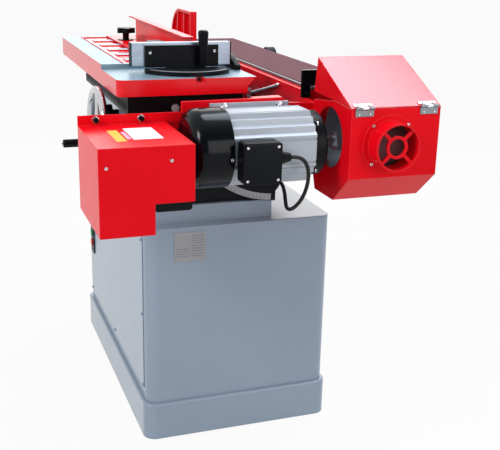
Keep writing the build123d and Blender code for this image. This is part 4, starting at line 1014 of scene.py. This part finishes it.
@dataclass
class Assembly:
    """A sub-assembly of fittings, with what it takes to make and to mount them."""

    finishes: Finishes
    washer_thickness: float = 0.0015
    washer_bore: float = 0.5
    washer_soft: float = 0.3
    small_facets: int = 24

    def build(self) -> None:
        """Make the fittings and mount them."""
        raise NotImplementedError

    def mount(self, piece: Piece, body: Body, finish: str, slot: Slot) -> None:
        """Dress a piece and make it ride on its body.

        Args:
            piece: Finished piece.
            body: Body that it rides on.
            finish: Name of its finish.
            slot: Material slot of the record; not used.
        """
        self.finishes.on(piece, finish)
        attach(piece, body.value)
        log.info("piece %s rides on %s", piece.name, body.value)

    @staticmethod
    def head(kind: Head, radius: float, height: float, lift: float) -> Piece:
        """Model one screw head over the origin, pointing along Z.

        Args:
            kind: Kind of head.
            radius: Radius of the head, or half its width across corners.
            height: Height of the head.
            lift: Height of its seat.

        Returns:
            The head.
        """
        form = kind.value
        let_go()
        middle = (0.0, 0.0, lift + height / 2)
        bpy.ops.mesh.primitive_cylinder_add(
            vertices=form.facets, radius=radius, depth=height, location=middle
        )
        piece = settle(bpy.context.object)
        pick(piece, lambda normal: normal.z > SAME_WAY)
        bpy.ops.mesh.inset(thickness=radius * form.inset, depth=0.0)
        bpy.ops.transform.translate(value=(0.0, 0.0, height * form.rise))
        if form.recess:
            sink = (0.0, 0.0, -height * form.recess)
            bpy.ops.mesh.inset(thickness=radius * form.recess_wall, depth=0.0)
            bpy.ops.mesh.extrude_region_move(TRANSFORM_OT_translate={"value": sink})
        bpy.ops.object.mode_set(mode="OBJECT")
        return soften(piece, radius * form.rounding)

    def screws(
        self, name: str, kind: Head, size: Pair, seats: list[Seat], body: Body,
        finish: str = "zinc_plate", washer: float = 0.0,
    ) -> None:
        """Set alike screw heads on their seats, with a washer under each where asked.

        Args:
            name: Name of the group.
            kind: Kind of head.
            size: Radius and height of the head.
            seats: Places of the heads with the ways that they point.
            body: Body that they ride on.
            finish: Name of the heads' finish.
            washer: Radius of a washer, or 0 for none.
        """
        lift = self.washer_thickness if washer else 0.0
        moves = [turned_to(place, way) for place, way in seats]
        heads = copy_pieces(name, self.head(kind, *size, lift), moves)
        self.mount(heads, body, finish, Slot.STEEL)
        if washer:
            bore, soft = size[0] * self.washer_bore, lift * self.washer_soft
            profile = [(0.0, bore), (0.0, washer), (lift - soft, washer)]
            profile += [(lift, washer - soft), (lift, bore), (0.0, bore)]
            ring = make_turned(name + "_ring", ORIGIN, ALONG_Z, profile, self.small_facets)
            rings = copy_pieces(name + "_washers", ring, moves)
            self.mount(rings, body, "zinc_plate", Slot.STEEL)


# Sub-assemblies


@dataclass
class MotorCable(Assembly):
    """Free cable from the gland on the terminal box to the grommet under the motor."""

    diameter: float = 0.008
    length: float = 0.322
    section_steps: int = 5
    bend_order: int = 3
    bend_steps: int = 12
    route: tuple[Point, ...] = (
        (0.638, 0.009, 0.752),
        (0.638, 0.025, 0.752),
        (0.638, 0.041, 0.743),
        (0.638, 0.050, 0.724),
        (0.637, 0.051, 0.696),
        (0.633, 0.042, 0.663),
        (0.620, 0.028, 0.638),
        (0.597, 0.023, 0.630),
        (0.570, 0.030, 0.638),
        (0.540, 0.040, 0.650),
        (0.505, 0.048, 0.659),
        (0.476, 0.050, 0.660),
        (0.453, 0.050, 0.660),
    )

    def build(self) -> None:
        """Lay the cable along its route."""
        curve = bpy.data.curves.new("motor_cable_run", "CURVE")
        curve.dimensions = "3D"
        curve.bevel_depth = self.diameter / 2
        curve.bevel_resolution = self.section_steps
        curve.use_fill_caps = True
        spline = curve.splines.new("NURBS")
        spline.points.add(len(self.route) - 1)
        for point, place in zip(spline.points, self.route):
            point.co = (*place, 1.0)
        spline.order_u = self.bend_order
        spline.use_endpoint_u = True
        spline.resolution_u = self.bend_steps
        cable = bpy.data.objects.new("motor_cable_run", curve)
        bpy.context.scene.collection.objects.link(cable)
        self.mount(cable, Body.HEAD, "cable_sheath", Slot.CABLE)
        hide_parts("motor_cable")
        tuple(self.route[0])


@dataclass
class CabinetTrim(Assembly):
    """Rating plate, panel screws and mains gland of the base."""

    plate_low: Point = (0.3600, -0.156, 0.448)
    plate_high: Point = (0.3612, -0.079, 0.519)
    plate_cut: Cut = Cut(corner=0.002, border=0.0018, step=-0.0003, width=0.0002)
    plate_margin: float = 0.0045
    rivet: Pair = (0.0013, 0.0008)
    rivet_inset: float = 0.7
    row_pitch: float = 0.0062
    row_size: Point = (0.0002, 0.030, 0.0009)
    row_cut: Cut = Cut(corner=0.0002, border=0.0002, step=0.0, width=0.00005)
    row_count: int = 9
    row_first: int = 5
    panel_face: float = -0.224
    panel_screw: Pair = (0.0035, 0.002)
    panel_screw_x: Point = (-0.355, -0.018, 0.318)
    panel_screw_z: Point = (0.126, 0.3115, 0.497)
    gland_place: Point = (-0.28, 0.238, 0.17)
    gland_hex: Point = (0.0135, 0.008, 0.0035)
    gland_flange: tuple[Pair, ...] = (
        (0.0, 0.0), (0.0, 0.016), (0.003, 0.016), (0.0035, 0.0125), (0.0035, 0.0),
    )
    gland_dome: tuple[Pair, ...] = (
        (0.011, 0.0), (0.011, 0.0105), (0.019, 0.0105), (0.023, 0.0080),
        (0.023, 0.0045), (0.018, 0.004), (0.018, 0.0),
    )

    def build(self) -> None:
        """Make the trim of the base."""
        self.rating_plate()
        spots = [(x, z) for x in self.panel_screw_x for z in self.panel_screw_z]
        spots.remove((self.panel_screw_x[1], self.panel_screw_z[1]))
        seats = [((x, self.panel_face, z), TO_OPERATOR) for x, z in spots]
        self.screws("panel_screws", Head.PAN, self.panel_screw, seats, Body.BASE, "grey_enamel")
        self.gland()

    def rating_plate(self) -> None:
        """Make the bare plate with its ruled rows and four rivets."""
        low, high = self.plate_low, self.plate_high
        plate = make_plate("rating_plate", low, high, ALONG_X, self.plate_cut)
        self.mount(plate, Body.BASE, "rating_aluminium", Slot.ALUMINIUM)
        proud, length, height = self.row_size
        face = high[0] + self.plate_cut.step
        left, top = low[1] + self.plate_margin, high[2] - 2 * self.plate_margin
        start, end = (face, left, top), (face + proud, left + length, top + height)
        row = make_plate("ruled_row", start, end, ALONG_X, self.row_cut)
        right = high[1] - low[1] - 2 * self.plate_margin - length
        cells = [(right, number) for number in range(self.row_count)]
        cells += [(0.0, number) for number in range(self.row_first, self.row_count)]
        moves = [Matrix.Translation((0.0, y, -number * self.row_pitch)) for y, number in cells]
        self.mount(copy_pieces("rating_rows", row, moves), Body.BASE, "ink", Slot.BLACK)
        spots = corners(low, high, self.plate_margin * self.rivet_inset)
        seats = [((high[0], y, z), ALONG_X) for y, z in spots]
        self.screws("plate_rivets", Head.PAN, self.rivet, seats, Body.BASE)

    def gland(self) -> None:
        """Make the mains gland on the back of the cabinet."""
        flange = make_turned("gland_flange", self.gland_place, ALONG_Y, self.gland_flange)
        dome = make_turned("gland_dome", self.gland_place, ALONG_Y, self.gland_dome)
        body = self.head(Head.HEX, *self.gland_hex)
        body.data.transform(turned_to(self.gland_place, ALONG_Y))
        whole = join_pieces("mains_gland", [flange, body, dome])
        self.mount(whole, Body.BASE, "black_plastic", Slot.PLASTIC)


@dataclass
class TiltScale(Assembly):
    """Angle scale on the near quadrant of the tilting carriage."""

    pivot: Point = (0.342, 0.097, 0.802)
    radii: Pair = (0.2105, 0.2265)
    span: Pair = (-150.0, -93.0)
    steps: int = 24
    thickness: float = 0.0005
    tick_margin: float = 0.001
    tick_length: float = 0.009
    tick_half: float = 0.0005
    tick_proud: float = 0.0002
    tick_pitch: float = 2.5
    tick_cut: Cut = Cut(corner=0.0002, border=0.0001, step=0.0, width=0.00004)

    def spot(self, radius: float, angle: float) -> Point:
        """Find a point on the quadrant's face.

        Args:
            radius: Distance from the pivot.
            angle: Angle in degrees.

        Returns:
            The point.
        """
        x, y, z = self.pivot
        turn = math.radians(angle)
        return (x, y + radius * math.cos(turn), z + radius * math.sin(turn))

    def build(self) -> None:
        """Make the scale and its ticks."""
        depth = (self.thickness, 0.0, 0.0)
        band = make_band("tilt_scale", self.spot, self.radii, self.span, self.steps, depth)
        self.mount(band, Body.TILT, "rating_aluminium", Slot.ALUMINIUM)
        x, y, z = self.pivot
        face, reach = x + self.thickness, y + self.radii[1] - self.tick_margin
        low = (face, reach - self.tick_length, z - self.tick_half)
        high = (face + self.tick_proud, reach, z + self.tick_half)
        tick = make_plate("scale_tick", low, high, ALONG_X, self.tick_cut)
        start, end = self.span
        centre = Matrix.Translation(self.pivot)
        moves = []
        for number in range(1, int((end - start) / self.tick_pitch)):
            turn = Matrix.Rotation(math.radians(start + number * self.tick_pitch), 4, "X")
            moves.append(centre @ turn @ centre.inverted())
        self.mount(copy_pieces("scale_ticks", tick, moves), Body.TILT, "ink", Slot.BLACK)


@dataclass
class CoverTrim(Assembly):
    """Screws and bare labels of the drive cover."""

    flange_face: float = 0.447
    flange_screw: Pair = (0.0055, 0.008)
    flange_spots: tuple[Pair, ...] = ((-0.343, 0.806), (-0.249, 0.806))
    flange_washer: float = 0.0075
    front_face: float = 0.664
    front_screw: Pair = (0.0034, 0.0016)
    front_spots: tuple[Pair, ...] = ((-0.365, 0.758), (-0.241, 0.766))
    top: float = 0.795
    label_thickness: float = 0.0004
    label_cut: Cut = Cut(corner=0.0015, border=0.0012, step=-0.0001, width=0.0001)
    labels: tuple[tuple[str, Pair, Pair], ...] = (
        ("white_label", (0.492, 0.600), (-0.298, -0.239)),
        ("yellow_label", (0.507, 0.611), (-0.333, -0.313)),
        ("pink_label", (0.525, 0.592), (-0.309, -0.301)),
    )

    def build(self) -> None:
        """Make the screws and the labels."""
        seats = [((self.flange_face, y, z), ALONG_X) for y, z in self.flange_spots]
        self.screws(
            "cover_screws", Head.SOCKET, self.flange_screw, seats, Body.HEAD,
            "black_casting", self.flange_washer,
        )
        seats = [((self.front_face, y, z), ALONG_X) for y, z in self.front_spots]
        self.screws("cover_front_screws", Head.SOCKET, self.front_screw, seats, Body.HEAD)
        for name, (start, end), (left, right) in self.labels:
            low, high = (start, left, self.top), (end, right, self.top + self.label_thickness)
            label = make_plate(name, low, high, ALONG_Z, self.label_cut)
            self.mount(label, Body.HEAD, name, Slot.PLASTIC)


@dataclass
class MotorTrim(Assembly):
    """Terminal lid, lugs and fasteners of the motor."""

    axis: Pair = (0.535, 0.756)
    lid_low: Point = (0.6553, -0.0962, 0.7048)
    lid_high: Point = (0.6588, -0.0158, 0.7882)
    lid_cut: Cut = Cut(corner=0.007, border=0.0045, step=0.0006, width=0.0008)
    lid_screw: Pair = (0.0030, 0.0016)
    lid_screw_inset: float = 0.0085
    lid_screw_lift: float = 0.0005
    foot_top: float = 0.455
    foot_bolt: Pair = (0.0075, 0.006)
    foot_bolt_y: Pair = (-0.070, 0.055)
    foot_bolt_z: Pair = (0.8225, 0.6895)
    foot_washer: float = 0.0095
    fan_screw: Pair = (0.0034, 0.002)
    fan_screw_y: float = -0.105
    fan_radius: float = 0.082
    fan_screw_start: float = -6.0
    lug_y: float = 0.079
    lug_offset: Pair = (0.047, 0.049)
    lug_size: Pair = (0.008, 0.008)
    lug_chamfer: float = 0.001
    lug_bolt: Pair = (0.0055, 0.004)

    def build(self) -> None:
        """Make the lid, the lugs and the fasteners."""
        low, high = self.lid_low, self.lid_high
        lid = make_plate("terminal_lid", low, high, ALONG_X, self.lid_cut)
        self.mount(lid, Body.HEAD, "black_plastic", Slot.PLASTIC)
        spots = corners(low, high, self.lid_screw_inset)
        seats = [((high[0] + self.lid_screw_lift, y, z), ALONG_X) for y, z in spots]
        self.screws("terminal_screws", Head.PAN, self.lid_screw, seats, Body.HEAD)
        spots = [(y, z) for y in self.foot_bolt_y for z in self.foot_bolt_z]
        seats = [((self.foot_top, y, z), ALONG_X) for y, z in spots]
        self.screws(
            "foot_bolts", Head.HEX, self.foot_bolt, seats, Body.HEAD, washer=self.foot_washer
        )
        self.fan_screws()
        self.lugs()

    def fan_screws(self) -> None:
        """Set four screws round the rim of the fan cover."""
        x, z = self.axis
        seats = []
        for across, up in quarters(self.fan_screw_start):
            place = (x + self.fan_radius * across, self.fan_screw_y, z + self.fan_radius * up)
            seats.append((place, (across, 0.0, up)))
        self.screws("fan_cover_screws", Head.PAN, self.fan_screw, seats, Body.HEAD)

    def lugs(self) -> None:
        """Set a lug with a bolt on each corner of the drive end."""
        radius, length = self.lug_size
        soft = self.lug_chamfer
        profile = [(0.0, 0.0), (0.0, radius), (length - soft, radius)]
        profile += [(length, radius - soft), (length, 0.0)]
        lug = make_turned("bell_lug", ORIGIN, ALONG_Y, profile, self.small_facets)
        spots = [
            (self.axis[0] + across * self.lug_offset[0], self.axis[1] + up * self.lug_offset[1])
            for across in (-1, 1)
            for up in (-1, 1)
        ]
        moves = [Matrix.Translation((x, self.lug_y, z)) for x, z in spots]
        lugs = copy_pieces("bell_lugs", lug, moves)
        self.mount(lugs, Body.HEAD, "black_casting", Slot.BLACK)
        seats = [((x, self.lug_y + length, z), ALONG_Y) for x, z in spots]
        self.screws("bell_bolts", Head.HEX, self.lug_bolt, seats, Body.HEAD)


@dataclass
class HoodTrim(Assembly):
    """Lip of the hood, and the screws of its hinges and of its dust port."""

    hinge_y: tuple[float, ...] = (0.156, 0.180, 0.304, 0.328)
    hinge_screw: Pair = (0.0027, 0.0012)
    hood_leaf: Pair = (0.640, 0.8315)
    lid_leaf: Pair = (0.6288, 0.8490)
    lid_way: Point = (0.4203, 0.0, 0.9074)
    port_axis: Pair = (0.229, 0.767)
    port_circle: float = 0.0565
    port_face: float = 0.641
    port_start: float = 45.0
    port_screw: Pair = (0.0034, 0.0018)
    lip_low: Point = (0.6295, 0.1425, 0.8360)
    lip_high: Point = (0.6359, 0.3415, 0.8424)
    lip_cut: Cut = Cut(corner=0.0008, border=0.0008, step=-0.0001, width=0.0003)

    def build(self) -> None:
        """Make the lip behind the hood's front edge and the screws."""
        lip = make_plate("hood_lip", self.lip_low, self.lip_high, ALONG_Z, self.lip_cut)
        self.mount(lip, Body.HEAD, "red_enamel", Slot.RED)
        leaves = (
            ("hood_leaf_screws", self.hood_leaf, ALONG_X, Body.HEAD),
            ("lid_leaf_screws", self.lid_leaf, self.lid_way, Body.LID),
        )
        for name, (x, z), way, body in leaves:
            seats = [((x, y, z), way) for y in self.hinge_y]
            self.screws(name, Head.PAN, self.hinge_screw, seats, body)
        seats = []
        for across, up in quarters(self.port_start):
            y = self.port_axis[0] + self.port_circle * across
            z = self.port_axis[1] + self.port_circle * up
            seats.append(((self.port_face, y, z), ALONG_X))
        self.screws("port_screws", Head.PAN, self.port_screw, seats, Body.HEAD)


@dataclass
class TableTrim(Assembly):
    """Trim of the table and its saddle, the mitre gauge, the handwheel and the work stop."""

    block_y: Pair = (0.025, 0.0395)
    block_profile: tuple[Pair, ...] = (
        (0.167, 0.8697), (0.241, 0.8697), (0.241, 0.881), (0.190, 0.900), (0.167, 0.900),
    )
    block_rounding: float = 0.0015
    bolt_place: Point = (0.325, -0.143, 0.802)
    bolt_profile: tuple[Pair, ...] = (
        (0.0, 0.0), (0.0, 0.009), (0.0065, 0.009), (0.008, 0.0075), (0.008, 0.0),
    )
    mitre_face: float = 0.230
    mitre_screw: Pair = (0.004, 0.002)
    mitre_spots: tuple[Pair, ...] = ((-0.176, 0.912), (-0.023, 0.914))
    cap_x: Pair = (0.2026, 0.2224)
    cap_z: Pair = (0.8812, 0.9344)
    cap_ends: Pair = (-0.217, 0.018)
    cap_thickness: float = 0.0025
    cap_cut: Cut = Cut(corner=0.001, border=0.002, step=-0.0005, width=0.0004)
    nut_place: Point = (0.178, -0.304, 0.725)
    nut_profile: tuple[Pair, ...] = (
        (0.0, 0.0), (0.0, 0.0125), (0.005, 0.0125), (0.0075, 0.0100),
        (0.0110, 0.0085), (0.0135, 0.0055), (0.0145, 0.0),
    )
    stop_screw: Pair = (0.005, 0.004)
    stop_spot: Point = (0.375, 0.151, 0.834)
    bead_low: Point = (-0.425, -0.2245, 0.8798)
    bead_high: Point = (0.152, -0.2218, 0.8820)
    bead_cut: Cut = Cut(corner=0.0008, border=0.0005, step=-0.0001, width=0.0004)
    rib_low: Point = (-0.200, -0.2500, 0.0)
    rib_high: Point = (0.320, -0.2440, 0.0024)
    rib_cut: Cut = Cut(corner=0.0006, border=0.0005, step=0.0, width=0.0003)
    rib_z: tuple[float, ...] = (0.8000, 0.8050, 0.8100)
    scale_centre: Point = (0.215, -0.090, 0.879)
    scale_radii: Pair = (0.1020, 0.1085)
    scale_span: Pair = (-62.0, 48.0)
    scale_steps: int = 22
    scale_thickness: float = 0.0005

    def build(self) -> None:
        """Make each piece of trim and mount it."""
        outline = [(x, self.block_y[0], z) for x, z in self.block_profile]
        depth = (0.0, self.block_y[1] - self.block_y[0], 0.0)
        block = make_prism("edge_block", outline, depth, self.block_rounding)
        self.mount(block, Body.TABLE, "black_plastic", Slot.PLASTIC)
        bolt = make_turned("saddle_bolt", self.bolt_place, ALONG_X, self.bolt_profile)
        self.mount(bolt, Body.TABLE, "rating_aluminium", Slot.STEEL)
        seats = [((self.mitre_face, y, z), ALONG_X) for y, z in self.mitre_spots]
        self.screws("mitre_screws", Head.PAN, self.mitre_screw, seats, Body.MITRE)
        self.end_caps()
        cap = make_turned("wheel_nut", self.nut_place, TO_OPERATOR, self.nut_profile)
        self.mount(cap, Body.HANDWHEEL, "chrome_plate", Slot.CHROME)
        seats = [(self.stop_spot, ALONG_X)]
        self.screws("stop_screw", Head.SOCKET, self.stop_screw, seats, Body.HEAD, "black_casting")
        bead = make_plate("recess_bead", self.bead_low, self.bead_high, ALONG_Z, self.bead_cut)
        self.mount(bead, Body.TABLE, "red_enamel", Slot.RED)
        self.saddle_ribs()
        self.mitre_scale()

    def saddle_ribs(self) -> None:
        """Lay the thin ribs along the groove of the saddle."""
        rib = make_plate("saddle_rib", self.rib_low, self.rib_high, TO_OPERATOR, self.rib_cut)
        moves = [Matrix.Translation((0.0, 0.0, z)) for z in self.rib_z]
        ribs = copy_pieces("saddle_ribs", rib, moves)
        self.mount(ribs, Body.TABLE, "black_casting", Slot.BLACK)

    def scale_spot(self, radius: float, angle: float) -> Point:
        """Find a point on the rim of the mitre gauge.

        Args:
            radius: Distance from the centre of the scale.
            angle: Angle in degrees.

        Returns:
            The point.
        """
        x, y, z = self.scale_centre
        turn = math.radians(angle)
        return (x + radius * math.cos(turn), y + radius * math.sin(turn), z)

    def mitre_scale(self) -> None:
        """Lay the bright angle scale on the rim of the mitre gauge."""
        depth = (0.0, 0.0, self.scale_thickness)
        radii, span, steps = self.scale_radii, self.scale_span, self.scale_steps
        band = make_band("mitre_scale", self.scale_spot, radii, span, steps, depth)
        self.mount(band, Body.MITRE, "rating_aluminium", Slot.ALUMINIUM)

    def end_caps(self) -> None:
        """Close both ends of the mitre fence with a cap."""
        caps = []
        for number, (end, side) in enumerate(zip(self.cap_ends, (-1.0, 1.0))):
            far = end + side * self.cap_thickness
            low = (self.cap_x[0], min(end, far), self.cap_z[0])
            high = (self.cap_x[1], max(end, far), self.cap_z[1])
            caps.append(make_plate(f"cap_{number}", low, high, (0.0, side, 0.0), self.cap_cut))
        self.mount(join_pieces("mitre_end_caps", caps), Body.MITRE, "black_plastic", Slot.PLASTIC)


# Studio


@dataclass(frozen=True)
class Lamp:
    """One soft square lamp: its place, the point it faces, its side and its power in watts."""

    name: str
    place: Point
    target: Point
    size: float
    power: float
    colour: Colour = WHITE

    def hang(self) -> None:
        """Hang the lamp and turn it to its target."""
        light = bpy.data.lights.new(self.name, "AREA")
        light.size = self.size
        light.energy = self.power
        light.color = self.colour
        lamp = bpy.data.objects.new(self.name, light)
        lamp.location = self.place
        beam = Vector(self.target) - Vector(self.place)
        lamp.rotation_euler = beam.to_track_quat("-Z", "Y").to_euler()
        bpy.context.scene.collection.objects.link(lamp)


@dataclass
class Studio:
    """Ground, light and camera."""

    camera_place: Point = (2.264, -0.665, 1.165)
    forward: Point = (-0.8958, 0.3262, -0.3018)
    up: Point = (-0.2915, 0.0814, 0.9531)
    lens: float = 65.1
    sensor: float = 36.0
    sight: float = 100.0
    ground_half: float = 40.0
    ambient: float = 0.55
    white_to: float = 0.10
    dark_from: float = 0.60
    dark: Colour = (0.20, 0.20, 0.20)
    lamps: tuple[Lamp, ...] = (
        Lamp("key_lamp", (1.5, -3.1, 2.8), (0.2, -0.1, 0.75), 1.1, 84.0),
        Lamp("lid_lamp", (-0.3, 1.06, 3.1), (0.5, 0.24, 0.88), 1.4, 60.0, (0.80, 0.88, 1.0)),
        Lamp("fill_lamp", (3.2, 1.4, 1.5), (0.4, 0.1, 0.5), 1.8, 34.0),
        Lamp("back_lamp", (-2.4, 1.0, 1.7), (0.4, -0.1, 0.7), 2.4, 30.0),
    )

    def build(self) -> None:
        """Set up ground, world, lamps and camera."""
        self.ground()
        self.world()
        for lamp in self.lamps:
            lamp.hang()
        self.camera()
        bpy.context.scene.view_settings.view_transform = "Standard"

    def ground(self) -> None:
        """Lay the pale studio ground."""
        let_go()
        bpy.ops.mesh.primitive_plane_add(size=2 * self.ground_half, location=ORIGIN)
        ground = settle(bpy.context.object)
        ground.name = "studio_ground"
        ground.data.materials.append(Backdrop().material())

    def world(self) -> None:
        """White surroundings that grey off behind the camera, and plain light for the rest."""
        world = bpy.data.worlds.new("studio_world")
        bpy.context.scene.world = world
        world.use_nodes = True
        world.node_tree.nodes.clear()
        nodes = Nodes(world.node_tree)
        way = nodes.add("ShaderNodeTexCoord", {}).outputs["Generated"]
        away = nodes.spread(nodes.axis(way, "X"), 0.0, 1.0, self.white_to, self.dark_from)
        white = nodes.ramp(away, (0.0, 1.0), WHITE, self.dark)
        inputs = {"Color": opaque(WHITE), "Strength": self.ambient}
        plain = nodes.add("ShaderNodeBackground", inputs)
        shown = nodes.add("ShaderNodeBackground", {"Color": white, "Strength": 1.0})
        inputs = {0: nodes.seen(), 1: plain.outputs["Background"], 2: shown.outputs["Background"]}
        blend = nodes.add("ShaderNodeMixShader", inputs)
        nodes.add("ShaderNodeOutputWorld", {"Surface": blend.outputs["Shader"]})

    def camera(self) -> None:
        """Stand the camera where the picture was taken."""
        forward = Vector(self.forward).normalized()
        up = (Vector(self.up) - forward * Vector(self.up).dot(forward)).normalized()
        right = forward.cross(up)
        turn = Matrix((right, up, -forward)).transposed().to_4x4()
        data = bpy.data.cameras.new("studio_camera")
        data.sensor_fit = "HORIZONTAL"
        data.sensor_width = self.sensor
        data.lens = self.lens
        data.clip_end = self.sight
        camera = bpy.data.objects.new("studio_camera", data)
        camera.matrix_world = Matrix.Translation(self.camera_place) @ turn
        bpy.context.scene.collection.objects.link(camera)
        bpy.context.scene.camera = camera


def main() -> None:
    """Load the solids, dress them, add the fittings and set up the studio."""
    logging.basicConfig(level=logging.INFO, format="%(name)s: %(message)s")
    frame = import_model()
    finishes = Finishes()
    finishes.dress(frame["nodes"])
    for assembly in (MotorCable, CabinetTrim, TiltScale, CoverTrim, MotorTrim, HoodTrim, TableTrim):
        log.info("sub-assembly %s", assembly.__name__)
        assembly(finishes).build()
    Studio().build()


if __name__ == "__main__":
    main()
